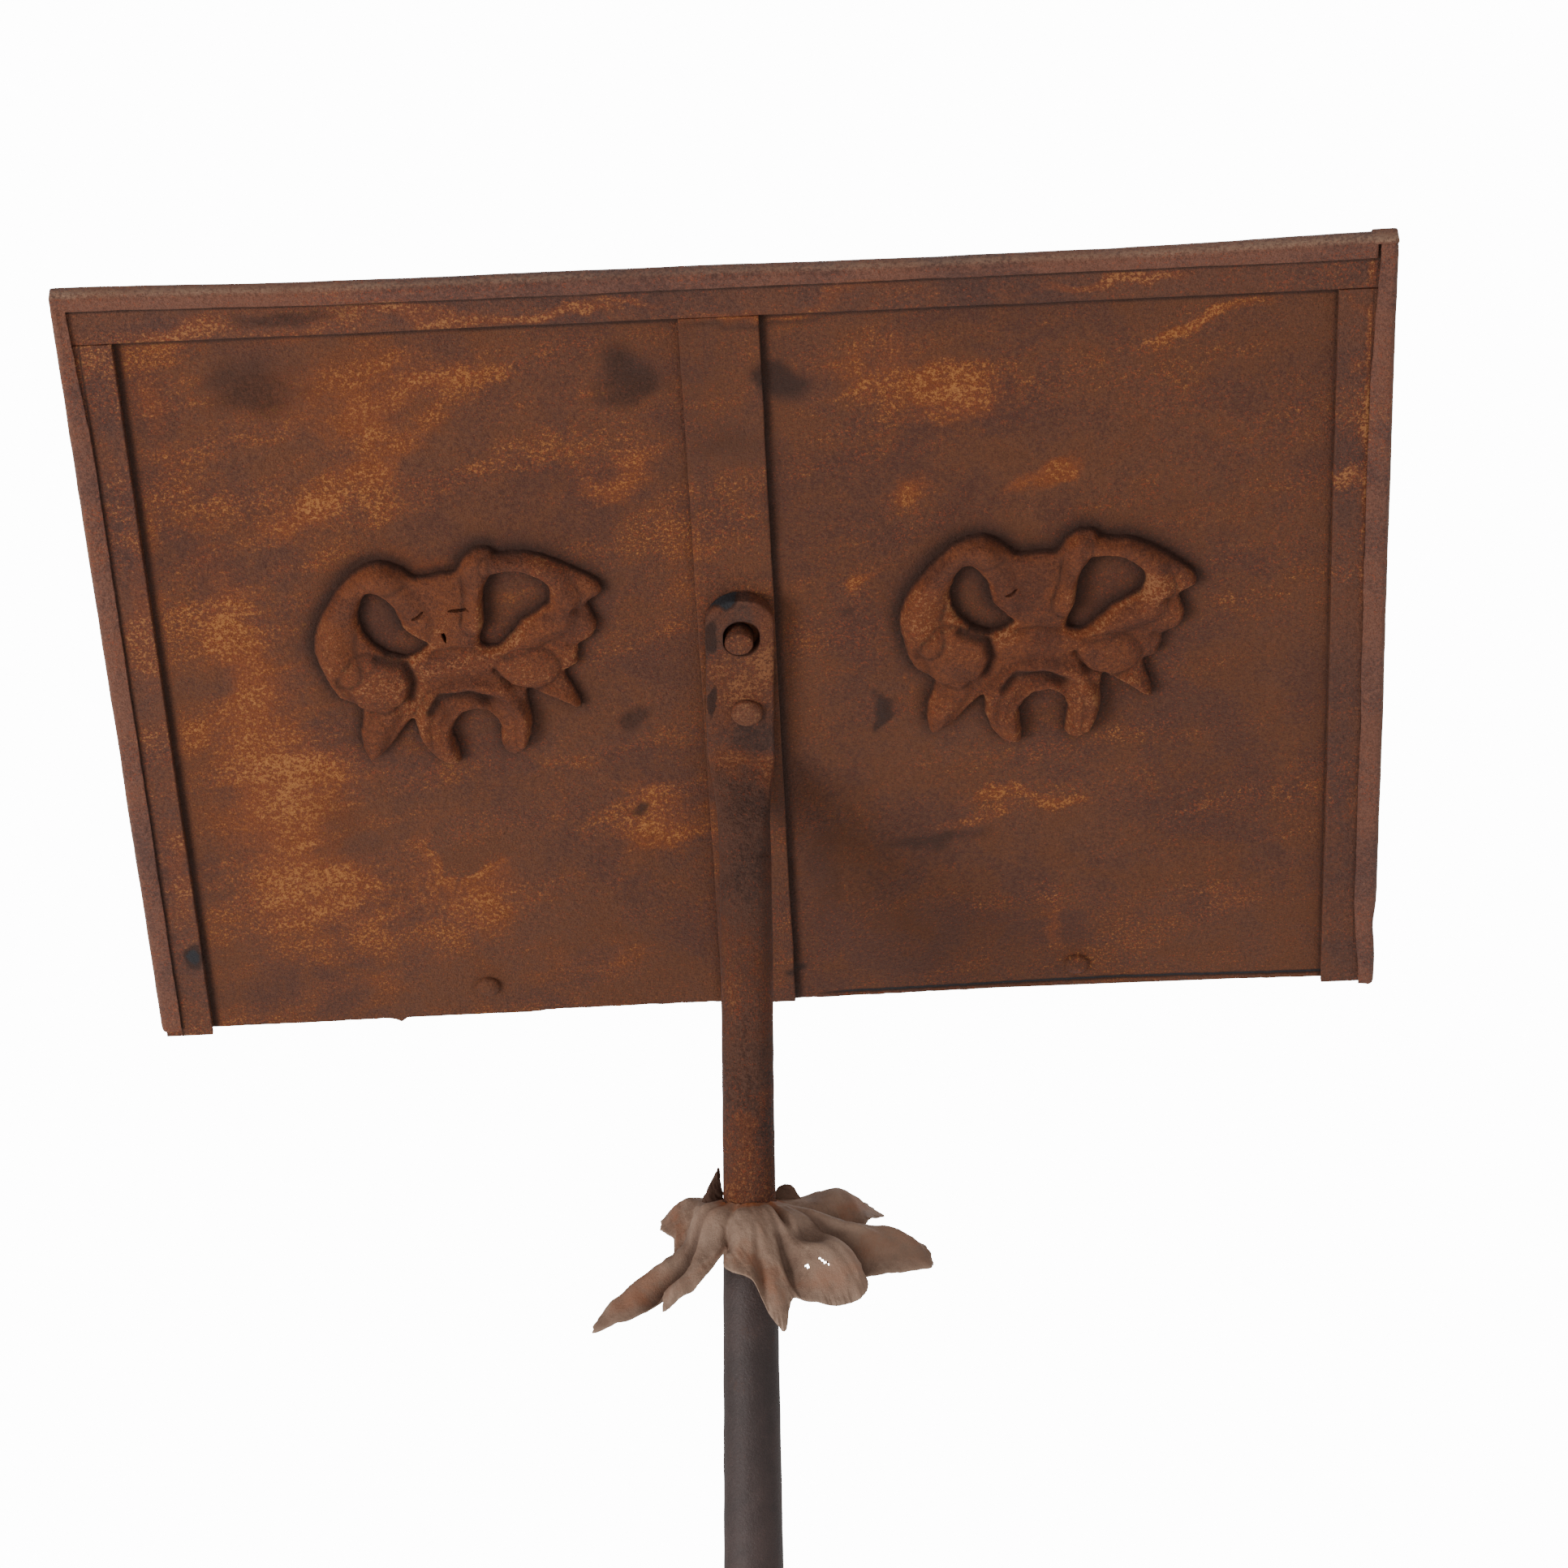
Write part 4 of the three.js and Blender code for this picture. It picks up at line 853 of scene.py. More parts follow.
verts, faces = dome_rivet(-SHEET - GAP, TANG_HIGH + 0.1, 7.0, 11.4, 3.0, 521, lean=(0.02, -0.03))
PIVOT_FRAME = Matrix((
    (1, UP_DESK.x, OFF_DESK.x, PIVOT.x * MM),
    (0, UP_DESK.y, OFF_DESK.y, PIVOT.y * MM),
    (0, UP_DESK.z, OFF_DESK.z, PIVOT.z * MM),
    (0, 0, 0, 1),
))
# The tang rivet is orange all over, painted with shade at its foot where it meets the tang, and paler on its crown.
piece("rock_rivet_domed", verts, faces, "rod", ["rock_rivet"], ROD_RUST, PIVOT_FRAME,
      stain_and_shading=lambda p: np.stack([1.0 + 0 * p[:, 0], 0.6 * (1 - smooth(p[:, 2], TANG_HIGH, TANG_HIGH + 1.2)),
                                0.2 * smooth(p[:, 2], TANG_HIGH + 0.6, TANG_HIGH + 2)], 1))

low = -SHEET - GAP
stud_profile = [(0, low - 1.6), (5.4, low - 1.6), (6.2, low - 0.9), (6.2, low), (3.5, low), (3.5, TANG_LOW),
                (5.1, TANG_LOW), (5.1, TANG_HIGH + 0.1), (4.8, TANG_HIGH + 0.7), (4.1, TANG_HIGH + 1.0),
                (2.4, TANG_HIGH + 1.15), (0, TANG_HIGH + 1.2)]
verts, faces = turned_solid(stud_profile, 48, wobble=0.08, seed=531)


def stud_stain_and_shade(points):
    x, _, w = points.T
    # Painted shade: the stud is darker below the tang's face, inside the slot.
    return np.stack([0.55 + 0 * x, 0.8 * (1 - smooth(w, TANG_HIGH - 1, TANG_HIGH)), 0 * x], 1)


piece("stop_stud_worn", verts + [STUD[0], STUD[1], 0], faces, "desk", ["stop_stud"], ROD_RUST, DESK,
      stain_and_shading=stud_stain_and_shade)


# ---- ornaments: the frame's outline, filled with pressed relief ----
# Raised ribs and creases of the stamp: points, half width, height.
RIBS = [
    ([(-24, 42), (-36, 36), (-44, 22), (-47, 8), (-45, -2)], 7.5, 1.7),
    ([(-28, 41), (-20, 30), (-15, 19), (-17, 10)], 5.0, 1.3),
    ([(6.5, 45), (8, 32), (6, 17)], 5.2, 1.8),
    ([(14, 43), (25, 43), (34.5, 37), (38.5, 27), (35.5, 16), (25, 10), (15, 7)], 5.0, 1.7),
    ([(-17.5, -40), (-18, -28), (-12, -17), (0, -11.5), (13, -15), (20, -26), (20, -40)], 3.2, 1.6),
    ([(-8, -41), (-7.5, -31), (-3, -22.5), (4, -20.5), (10, -28), (11, -40)], 2.4, 1.2),
    ([(-13, -24), (-13.5, -34), (-7.5, -45)], 5.5, 1.2),
    ([(15.5, -24), (17, -40)], 5.5, 1.2),
    ([(-29, -24), (-34, -34), (-37, -44)], 4.5, 1.3),
    ([(25, -16), (33, -18.5), (39, -25)], 3.6, 1.1),
    ([(-14, -2), (0, -4), (12, 0)], 6.0, 0.8),
    ([(42, 26), (49, 29)], 5.0, 0.5),
    ([(42, 14), (47.5, 13)], 4.5, 0.5),
    ([(36, -2), (39, -5)], 4.5, 0.4),
    ([(-13, -22), (-9, -16), (2, -15.5), (8, -19)], 2.6, -1.7),
    ([(11, -5), (16, -13), (27, -15)], 1.6, -1.2),
    ([(-31, 3), (-21, -1), (-18.5, -9), (-20, -17)], 2.4, -1.5),
    ([(-40, -22), (-41, -14), (-46, -6)], 2.0, -0.9),
    ([(-11, 3.5), (-4, 6), (5, 5)], 1.5, -0.9),
    ([(41, 21.5), (44, 20)], 1.8, -0.8),
    ([(38, 5), (42, 4)], 1.8, -0.8),
    ([(3, 40), (3.5, 28), (1, 20)], 1.3, -0.6),
]
DOMES = [((23, -4.5), (11.5, 9.5), 2.9), ((-32, -8.5), (13, 13.5), 3.0), ((-4, 20), (13, 16), 1.0),
         ((-36, -33), (6, 10), 0.5)]
EDGE_DEEP = 3.4


def make_ornament(side, centre, lean, seed):
    loops = [resample(loop, 0.9) for loop in node_outline(f"ornament_{side}", lean, centre)]
    rough = []
    for k, loop in enumerate(loops):
        soft = (np.roll(loop, 1, 0) + 2 * loop + np.roll(loop, -1, 0)) / 4
        out = np.roll(soft, -1, 0) - np.roll(soft, 1, 0)
        out = np.stack([out[:, 1], -out[:, 0]], 1) / np.maximum(np.hypot(*out.T), 1e-6)[:, None]
        jitter = 0.35 * fbm(soft[:, 0] / 3, soft[:, 1] / 3, seed + k)
        rough.append(soft + out * jitter[:, None])
    rough.sort(key=lambda loop: -abs(area_of(loop)))
    outline, holes = rough[0], rough[1:]
    for (cx, cy), a, b, turn in SLITS[side]:
        k = np.linspace(0, 2 * math.pi, 15)[:-1]
        c, s = math.cos(math.radians(turn)), math.sin(math.radians(turn))
        ex, ey = a * np.cos(k), b * np.sin(k) * (1 + 0.3 * np.sin(3 * k))
        holes.append(np.stack([cx + ex * c - ey * s, cy + ex * s + ey * c], 1))
    lo, hi = outline.min(0), outline.max(0)
    gx, gy = np.meshgrid(np.arange(lo[0], hi[0], 0.95), np.arange(lo[1], hi[1], 0.95))
    grid = np.stack([gx.ravel(), gy.ravel()], 1)
    grid = grid + 0.22 * np.stack([noise(grid[:, 0] * 3.1, grid[:, 1] * 3.3, 7),
                                   noise(grid[:, 0] * 2.9, grid[:, 1] * 3.7, 8)], 1)
    keep = inside(grid, outline)
    for hole in holes:
        keep &= ~inside(grid, hole)
    grid = grid[keep]
    rims = [outline] + holes
    edge = np.min([distance_to(grid, rim, True) for rim in rims], 0)
    grid = grid[edge > 0.55]
    points = np.concatenate(rims + [grid])
    borders, start = [], 0
    for rim in rims:
        count = len(rim)
        borders += [(start + i, start + (i + 1) % count) for i in range(count)]
        start += count
    flat, _, tris, *_ = delaunay_2d_cdt([Vector(p) for p in points], borders, [], 0, 1e-5)
    flat = np.array([(p.x, p.y) for p in flat])
    middle = np.array([flat[list(t)].mean(0) for t in tris])
    good = inside(middle, outline)
    for hole in holes:
        good &= ~inside(middle, hole)
    tris = [list(t) for t, g in zip(tris, good) if g]
    edge = np.min([distance_to(flat, rim, True) for rim in rims[:3]], 0)
    t = np.clip(edge / EDGE_DEEP, 0, 1)
    h = 0.9 + 2.4 * np.sqrt(np.clip(1 - (1 - t) ** 2, 0, 1))
    # crease gathers painted shade: in the sunken creases, along the flanks of the raised ribs and round the domes'
    # feet; crest marks the rib tops.
    crease, crest = 0 * edge, 0 * edge
    for line, half, height in RIBS:
        d = distance_to(flat, line)
        if height < 0:
            crease = np.maximum(crease, -0.55 * height * np.exp(-((d / half) ** 2)))
        else:
            lines = 0.36 * height * np.exp(-(((d / half - 1.1) / 0.2) ** 2)) * smooth(edge, 0.8, 2.2)
            crease = np.maximum(crease, lines)
            crest = np.maximum(crest, height * np.exp(-((d / half / 0.6) ** 2)))
        d = d + 0.5 * fbm(flat[:, 0] / 6, flat[:, 1] / 6, seed + 50)
        h = h + 1.25 * height * np.clip(1 - (d / half) ** 2, 0, 1) ** (1.0 if height > 0 else 1.4) * smooth(edge, 0, 2.0)
    for (cx, cy), (rx, ry), height in DOMES:
        d = np.hypot((flat[:, 0] - cx) / rx, (flat[:, 1] - cy) / ry)
        h = h + height * np.sqrt(np.clip(1 - d**2, 0, 1)) * smooth(edge, 0, 1.6)
        d = d + 0.08 * fbm(flat[:, 0] / 5, flat[:, 1] / 5, seed + 55)
        crease = np.maximum(crease, 0.2 * height * np.exp(-(((d - 1.04) / 0.09) ** 2)) * smooth(edge, 1.0, 3.0))
        crest = crest * (1 - (d < 1) * (height > 2))
    h = h + 0.35 * fbm(flat[:, 0] / 5, flat[:, 1] / 5, seed + 60) * smooth(edge, 0.2, 2.5)
    h = np.maximum(h, 0.6)
    c, s = math.cos(math.radians(lean)), math.sin(math.radians(lean))
    x = centre[0] + flat[:, 0] * c - flat[:, 1] * s
    v = centre[1] + flat[:, 0] * s + flat[:, 1] * c
    top = np.stack([x, v, GAP + h], 1)
    base = np.stack([x, v, 0 * h - 0.1 + np.minimum(0, dent(x, v))], 1)
    count = len(flat)
    faces = [t for t in tris] + [[a + count, c2 + count, b + count] for a, b, c2 in tris]
    edges = {}
    for a, b, c2 in tris:
        for p, q in ((a, b), (b, c2), (c2, a)):
            if (q, p) in edges:
                del edges[(q, p)]
            else:
                edges[(p, q)] = True
    faces += [[q, p, p + count, q + count] for p, q in edges]
    used = sorted({i for f in faces for i in f})
    number = {i: k for k, i in enumerate(used)}
    verts = np.concatenate([top, base])[used]
    faces = [[number[i] for i in f] for f in faces]

    rim = np.min([distance_to(flat, rim, True) for rim in rims[1:3]], 0)
    warm = 0.14 + 0.2 * crest + 0.5 * fbm(x / 12, v / 12, seed + 70) + 0.45 * np.exp(-(((rim - 1.2) / 1.4) ** 2))
    warm = warm + 0.3 * np.exp(-((flat[:, 0] / 18) ** 2) - ((flat[:, 1] + 4) / 8) ** 2) + 0.2 * np.exp(-((edge - 0.9) ** 2))
    # Painted shade in the creases and along the rims; the side walls and underside are painted fully dark.
    edge_and_crease_shade = np.clip(crease + 0.8 * (1 - smooth(edge, 0.0, 0.5)), 0, 1)
    stains_and_shade = np.stack([np.clip(warm, 0, 1), edge_and_crease_shade, 0 * warm], 1)
    stains_and_shade = np.concatenate([stains_and_shade, 0 * stains_and_shade + [0, 1, 0]])[used]
    piece(f"ornament_{side}_pressed", verts, faces, "desk", [f"ornament_{side}"], ORNAMENT_RUST,
          DESK, sharp=70, stain_and_shading=lambda points: stains_and_shade)


for (side, centre, lean), seed in zip(ORNAMENTS, (601, 651)):
    make_ornament(side, centre, lean, seed)


# ---- rod and tang ----
TILT = math.atan2(-OFF_DESK.z, -OFF_DESK.y)
TANG_MID = (TANG_LOW + TANG_HIGH) / 2
BEND_AT = (PIVOT.y - TANG_MID * math.cos(TILT)) / math.sin(TILT)


def on_tang(v):
    return (PIVOT.y - TANG_MID * math.cos(TILT) - v * math.sin(TILT),
            PIVOT.z - TANG_MID * math.sin(TILT) + v * math.cos(TILT))


BEND_Z = on_tang(BEND_AT)[1]


def rod_ring(cx, cy, cz, lean, wide, thick, square, count=110):
    a = np.arange(720) / 720 * 2 * math.pi
    c, s = np.cos(a), np.sin(a)
    x = np.sign(c) * np.abs(c) ** (2 / square) * wide
    t = np.sign(s) * np.abs(s) ** (2 / square) * thick
    closed = np.stack([np.append(x, x[0]), np.append(t, t[0])], 1)
    length = np.concatenate([[0], np.cumsum(np.hypot(*np.diff(closed, axis=0).T))])
    at = np.arange(count) / count * length[-1]
    x, t = np.interp(at, length, closed[:, 0]), np.interp(at, length, closed[:, 1])
    return np.stack([cx + x, cy + t * math.cos(lean), cz + t * math.sin(lean)], 1)


def rod_stain(points):
    x, z = points[:, 0], points[:, 2]
    wide = x + 2.2 * fbm(x / 5, z / 5, 713)
    high = z + 2.2 * fbm(x / 5 + 7, z / 5, 714)
    warm = 0.45 * smooth(z, PIVOT.z - 24, PIVOT.z - 8) + 0.15 * (1 - smooth(z, SEAT + 20, SEAT + 50))
    warm = warm + 0.7 * fbm(x / 8 + 3, z / 12, 711) + 0.012 * (x - TANG_X) + 0.12
    warm = warm + 0.5 * np.exp(-(((z - PIVOT.z + 23) / 3.5) ** 2))
    dark = 0.30 * smooth(z, SEAT + 60, SEAT + 90) * (1 - smooth(z, PIVOT.z - 46, PIVOT.z - 30))
    for centre, size, turn, strength in ROD_DARK:
        place = (TANG_X + centre[0], PIVOT.z + centre[1])
        dark = np.maximum(dark, strength * patch(wide, high, place, size, turn, 0.6))
    return np.stack([np.clip(warm, 0, 1.1), np.clip(dark, 0, 1.7), 0 * x], 1)


# Scale and soot on the tang, measured from the pivot: centre, half sizes, turn, strength.
ROD_DARK = [
    ((-6.5, 35.2), (7.8, 3.8), 8, 1.8), ((-9.4, 21), (2.3, 5.5), 0, 1.0), ((-9.6, -1.5), (1.8, 6), -4, 1.1),
    ((9, 32), (2.2, 4), 20, 0.4),
]


def make_rod():
    rings = []
    spigot = 5.85
    rings.append(rod_ring(0, 0, SEAT - 66, 0, spigot - 1, spigot - 1, 2))
    rings.append(rod_ring(0, 0, SEAT - 64.5, 0, spigot, spigot, 2))
    rings.append(rod_ring(0, 0, SEAT + GAP, 0, spigot, spigot, 2))
    rings.append(rod_ring(0, 0, SEAT + GAP + 0.02, 0, ROD_RADIUS - 0.5, ROD_RADIUS - 0.5, 2))
    for z in np.arange(SEAT + 1.2, BEND_Z - 34, 2.2):
        square = 2 + 0.25 * float(smooth(z, 900, 960))
        rings.append(rod_ring(0, 0, z, 0, ROD_RADIUS, ROD_RADIUS, square))
    steps = 34
    for i in range(steps + 1):
        k = i / steps
        lean = TILT * float(smooth(k, 0.25, 0.85))
        along = -34 + 52 * k
        cy, cz = (0, BEND_Z + along) if along < 0 else on_tang(BEND_AT + along)
        cx = (TANG_X + PIVOT.x) * k
        thick = ROD_RADIUS + (TANG_HIGH / 2 - TANG_LOW / 2 - ROD_RADIUS) * float(smooth(k, 0, 0.72))
        wide = ROD_RADIUS + (TANG_HALF - ROD_RADIUS) * float(smooth(k, 0.22, 0.8))
        rings.append(rod_ring(cx, cy, cz, lean, wide, thick, 2 + 5 * k))
    radius = 11.5
    stops = [(v, TANG_HALF) for v in np.arange(BEND_AT + 19.2, TANG_TOP - radius, 1.2)]
    for a in np.radians(np.linspace(0, 80, 12)):
        stops.append((TANG_TOP - radius + radius * math.sin(a), TANG_HALF - radius + radius * math.cos(a)))
    half_thick = (TANG_HIGH - TANG_LOW) / 2
    for v, wide in stops:
        cy, cz = on_tang(v)
        rings.append(rod_ring(TANG_X + PIVOT.x, cy, cz, TILT, wide, half_thick, 7))
    rings = np.array(rings)
    centre = rings.mean(1, keepdims=True)
    out = rings - centre
    size = np.linalg.norm(out, axis=2, keepdims=True)
    z = rings[..., 2]
    swirl = np.arctan2(out[..., 1], out[..., 0])
    bumps = 0.16 * fbm(z / 16, np.cos(swirl) * 1.2 + 4, 701) + 0.10 * fbm(z / 5, np.sin(swirl) * 2 + 4, 702)
    bumps = bumps + 0.30 * np.minimum(0, fbm(z / 4, rings[..., 0] / 4, 703)) * smooth(z, PIVOT.z - 24, PIVOT.z - 8)
    bumps = bumps * smooth(z, SEAT + 0.5, SEAT + 4)
    flat = smooth(z, PIVOT.z - 18, PIVOT.z - 4)
    bumps = bumps * (1 - 0.45 * flat)
    rings = rings + out / np.maximum(size, 1e-6) * bumps[..., None]
    verts, faces = skin(rings)
    body = piece("upper_post_forged", verts, faces, "rod", ["upper_post"], ROD_RUST, sharp=42,
                 stain_and_shading=rod_stain)
    slot_x = math.cos(ROLL) * -1.4 - math.sin(ROLL) * 32 + 0.9
    slot_y = math.sin(ROLL) * -1.4 + math.cos(ROLL) * 32 + 2.1
    radius, half_straight = 6.55, 1.5
    outline = np.concatenate([arc(slot_x, slot_y + half_straight, radius, 0, 180, 24),
                              arc(slot_x, slot_y - half_straight, radius, 180, 360, 24)])
    outline = outline + 0.12 * np.stack([fbm(outline[:, 0] / 3, outline[:, 1] / 3, 71),
                                         fbm(outline[:, 0] / 3, outline[:, 1] / 3, 72)], 1)
    levels = (TANG_MID - 12, TANG_MID + 12)
    cutter_rings = np.array([np.column_stack([outline, np.full(len(outline), w)]) for w in levels])
    cut_verts, cut_faces = skin(cutter_rings)
    mesh = bpy.data.meshes.new("slot_cutter")
    mesh.from_pydata((cut_verts * MM).tolist(), [], cut_faces)
    cutter = bpy.data.objects.new("slot_cutter", mesh)
    bpy.context.scene.collection.objects.link(cutter)
    cutter.matrix_world = PIVOT_FRAME
    work = bmesh.new()
    work.from_mesh(mesh)
    bmesh.ops.recalc_face_normals(work, faces=work.faces)
    work.to_mesh(mesh)
    work.free()
    modifier = body.modifiers.new("slot", "BOOLEAN")
    modifier.operation = "DIFFERENCE"
    modifier.object = cutter
    modifier.solver = "EXACT"
    bpy.context.view_layer.update()
    solid = bpy.data.meshes.new_from_object(body.evaluated_get(bpy.context.evaluated_depsgraph_get()))
    solid.set_sharp_from_angle(angle=math.radians(42))
    body.modifiers.clear()
    body.data = solid
    back = PIVOT_FRAME.inverted()
    local = np.array([back @ v.co for v in solid.vertices]) / MM
    near = distance_to(local[:, :2], [(slot_x, slot_y - 1.5), (slot_x, slot_y + 1.5)])
    stain_and_shading = np.ones((len(local), 4), np.float32)
    stain_and_shading[:, :3] = rod_stain(np.array([v.co for v in solid.vertices]) / MM)
    # Painted shade on the slot's walls and just round its edge.
    stain_and_shading[:, 1] = np.maximum(stain_and_shading[:, 1], 0.6 * (1 - smooth(near, 6.6, 7.6)))
    solid.attributes["stain_and_shading"].data.foreach_set("color", stain_and_shading.ravel())
    bpy.data.objects.remove(cutter)


make_rod()


# ---- leaf collar ----
# Sections of the pressed leaf: bearing in degrees, then distance from the axis and height above the seat
# at its shoulder, half way out and at its rim.
LEAF = [
    (0, 18, -1.0, 34, -6, 50, -15), (8, 18, -1.0, 30, -5, 42, -9), (16, 18, 0.0, 32, -2, 46, -6),
    (26, 18, 0.0, 36, 0.5, 56, -7.5), (34, 18, 0.0, 36, 1.5, 52, -3), (42, 18, 0.0, 33, 1.5, 46, -1),
    (52, 17, 0.0, 26, 0, 36, -3), (64, 16, 0.0, 20, -2, 27, -7), (78, 17, -1.0, 25, -4, 36, -12),
    (92, 17, -1.0, 28, -6, 40, -17), (106, 16, -1.0, 22, -5, 30, -12), (118, 15, 0.0, 19, -2, 25, -8),
    (130, 17, 0.0, 24, 0.5, 33, -4), (145, 18, 0.0, 27, 0, 39, -8), (158, 18, 0.0, 26, -3, 35, -10),
    (170, 17, -1.0, 23, -7, 28, -12), (182, 17.5, -1.0, 23, -10, 28, -17),
    (192, 18, -1.0, 27, -15, 40, -27), (199, 18.5, -1.0, 29, -17, 55, -35),
    (204, 19, -1.5, 30, -18, 63.5, -45.5), (207.5, 19, -2.0, 30, -19, 57, -41),
    (211, 19, -2.0, 30, -20, 50, -38), (214, 19, -2.5, 29, -20, 44, -32),
    (217, 19, -2.5, 28, -20, 39.5, -26.5), (220, 19, -3.0, 29, -21, 40.5, -31),
    (223, 19, -3.0, 29, -22, 43, -35.5), (226, 19, -3.0, 29, -22, 45, -37.5),
    (230, 19, -4.0, 27, -20, 38, -31), (236, 18, -4.0, 24, -16, 31, -24.5),
    (241, 17, -5.0, 19, -11, 22.5, -16), (244.5, 17, -5.0, 19, -11, 21.5, -14.5),
    (248, 17, -4.0, 22, -12, 27, -18), (253, 17, -3.0, 25, -13, 32, -19.5),
    (260, 17, -3.0, 26, -13, 34, -21), (268, 17, -3.0, 26, -14, 34, -22.5),
    (272, 17, -3.0, 27, -15, 35, -24), (276, 17, -2.5, 27, -17, 37, -30), (280, 17, -2.5, 28, -18, 39, -37),
    (284, 17, -2.5, 28, -18.5, 41, -41), (286.5, 17, -2.5, 28, -18.5, 42, -44),
    (289, 17, -2.0, 28, -18.5, 39, -38), (292, 17, -2.0, 28, -17, 37, -31),
    (295, 17, -2.0, 28, -16, 38, -29.5), (300, 17, -2.0, 30, -14, 43, -31.5),
    (308, 17.5, -3.0, 33, -13, 48, -34), (316, 18, -2.0, 35, -13, 51, -33.5),
    (322, 18, -2.0, 36, -12, 52, -30), (327, 18, -1.5, 34, -11, 49, -26),
    (331, 18, -1.5, 33, -10, 45, -23.5), (336, 18, -1.5, 35, -10, 48, -24),
    (340, 18, -1.5, 37, -9, 54, -23), (344, 18, -1.5, 38, -8, 61, -23.5),
    (348, 18, -1.5, 40, -8, 67, -24.5), (351, 18, -1.5, 40, -7.5, 66, -19),
    (354, 18, -1.5, 40, -7, 61, -14), (357, 18, -1.5, 37, -6, 55, -14),
]
# Swellings and creases of the leaf: bearing, how far out (0 to 1), half sizes, height in mm.
SWELLS = [
    (319, 0.76, 13, 0.24, 5.4), (348, 0.80, 8, 0.26, 3.4), (28, 0.62, 13, 0.32, 3.2),
    (226, 0.78, 7, 0.28, 4.4), (203, 0.75, 8, 0.30, 2.6), (285, 0.80, 7, 0.24, 2.6),
    (262, 0.34, 20, 0.20, 1.8), (208, 0.30, 14, 0.18, 2.0), (336, 0.40, 11, 0.18, 2.0),
    (214.5, 0.68, 3.5, 0.40, -4.6), (243, 0.60, 5, 0.35, -1.6), (297, 0.66, 4, 0.32, -4.0),
    (333.5, 0.68, 4, 0.34, -4.4), (6, 0.62, 5, 0.40, -2.4), (275, 0.72, 4, 0.3, -1.4),
    (318, 0.45, 12, 0.09, -4.0), (188, 0.60, 6, 0.40, -2.0), (352, 0.45, 10, 0.12, -1.4),
    (55, 0.6, 7, 0.4, -2.0), (145, 0.7, 10, 0.3, 2.0), (90, 0.7, 10, 0.3, 2.4), (309, 0.16, 5, 0.12, -3.2),
    (299, 0.20, 6, 0.13, 1.8), (250, 0.55, 7, 0.10, -1.6), (342, 0.62, 4, 0.12, 1.6),
    (352, 0.70, 4, 0.12, 1.6), (232, 0.42, 9, 0.10, -1.8), (203, 0.45, 9, 0.08, -1.8),
    (28, 0.35, 14, 0.09, -1.6),
]


def leaf_section(bearing):
    """Six smoothed columns of the table at each bearing."""
    keys = np.array(LEAF, float)
    turn = np.array([360] + [0] * 6)
    keys = np.vstack([keys[-3:] - turn, keys, keys[:3] + turn])
    columns = []
    for k in range(1, 7):
        shifted = [np.interp(bearing + d, keys[:, 0], keys[:, k]) for d in (-1.6, -0.6, 0.6, 1.6)]
        columns.append(sum(shifted) / 4)
    return columns


def through(stops, values, u):
    """A smooth curve through the values at the stops."""
    slopes = [(values[1] - values[0]) / (stops[1] - stops[0])]
    for k in range(1, len(stops) - 1):
        slopes.append((values[k + 1] - values[k - 1]) / (stops[k + 1] - stops[k - 1]))
    slopes.append((values[-1] - values[-2]) / (stops[-1] - stops[-2]))
    result = 0 * u + values[0]
    for k in range(len(stops) - 1):
        wide = stops[k + 1] - stops[k]
        t = (u - stops[k]) / wide
        curve = ((2 * t**3 - 3 * t**2 + 1) * values[k] + (t**3 - 2 * t**2 + t) * wide * slopes[k]
                 + (3 * t**2 - 2 * t**3) * values[k + 1] + (t**3 - t**2) * wide * slopes[k + 1])
        result = np.where((t >= 0) & (t <= 1.0001), curve, result)
    return result


def leaf_surface(bearing, u):
    r1, h1, r2, h2, r3, h3 = leaf_section(bearing)
    torn = 0.6 * fbm(bearing / 2.4, 0.5 + 0 * bearing, 801) + 0.7 * noise(bearing / 0.8, 0.5, 802)
    torn = torn * smooth(r3, 26, 42)
    neck = ROD_RADIUS + 0.7 + 0.5 * fbm(bearing / 30, 0.5 + 0 * bearing, 803)
    start = 1.2 + 0.8 * fbm(bearing / 24, 0.5 + 0 * bearing, 804)
    stops = (0.0, 0.22, 0.55, 1.0)
    r = through(stops, (neck, r1, r2, r3), u)
    h = through(stops, (start, h1, h2, h3), u)
    r = r + torn * smooth(u, 0.90, 1.0)
    swell, sunk = 0 * u, 0 * u
    for at, out, wide, long, height in SWELLS:
        turn = (bearing - at + 180) % 360 - 180
        part = height * np.exp(-((turn / wide) ** 2) - ((u - out) / long) ** 2)
        swell, sunk = swell + part, sunk - np.minimum(part, 0)
    hollow = np.clip(sunk / 2.4, 0, 1)
    proud = np.clip(swell / 4.2, 0, 1)
    x, y = r * np.cos(np.radians(bearing)), r * np.sin(np.radians(bearing))
    swell = swell + 1.3 * fbm(x / 13 + h / 20, y / 13 - h / 17, 806) * smooth(u, 0.05, 0.2)
    swell = swell + 0.45 * fbm(x / 4 + h / 5, y / 4 - h / 6, 807) * smooth(u, 0.05, 0.2)
    for k, spot in enumerate((309, 314, 319.5, 325, 330)):
        at = 0.88 - 0.012 * (k - 2) ** 2
        d = np.hypot((bearing - spot) * 0.75, (u - at) * 40)
        swell = swell + 0.6 * np.exp(-((d / 0.8) ** 2))
    r, h = r + 0.6 * swell * smooth(u, 0.1, 0.4), h + 0.9 * swell
    a = np.radians(bearing)
    return np.stack([r * np.cos(a), r * np.sin(a), SEAT + h], -1), hollow, proud


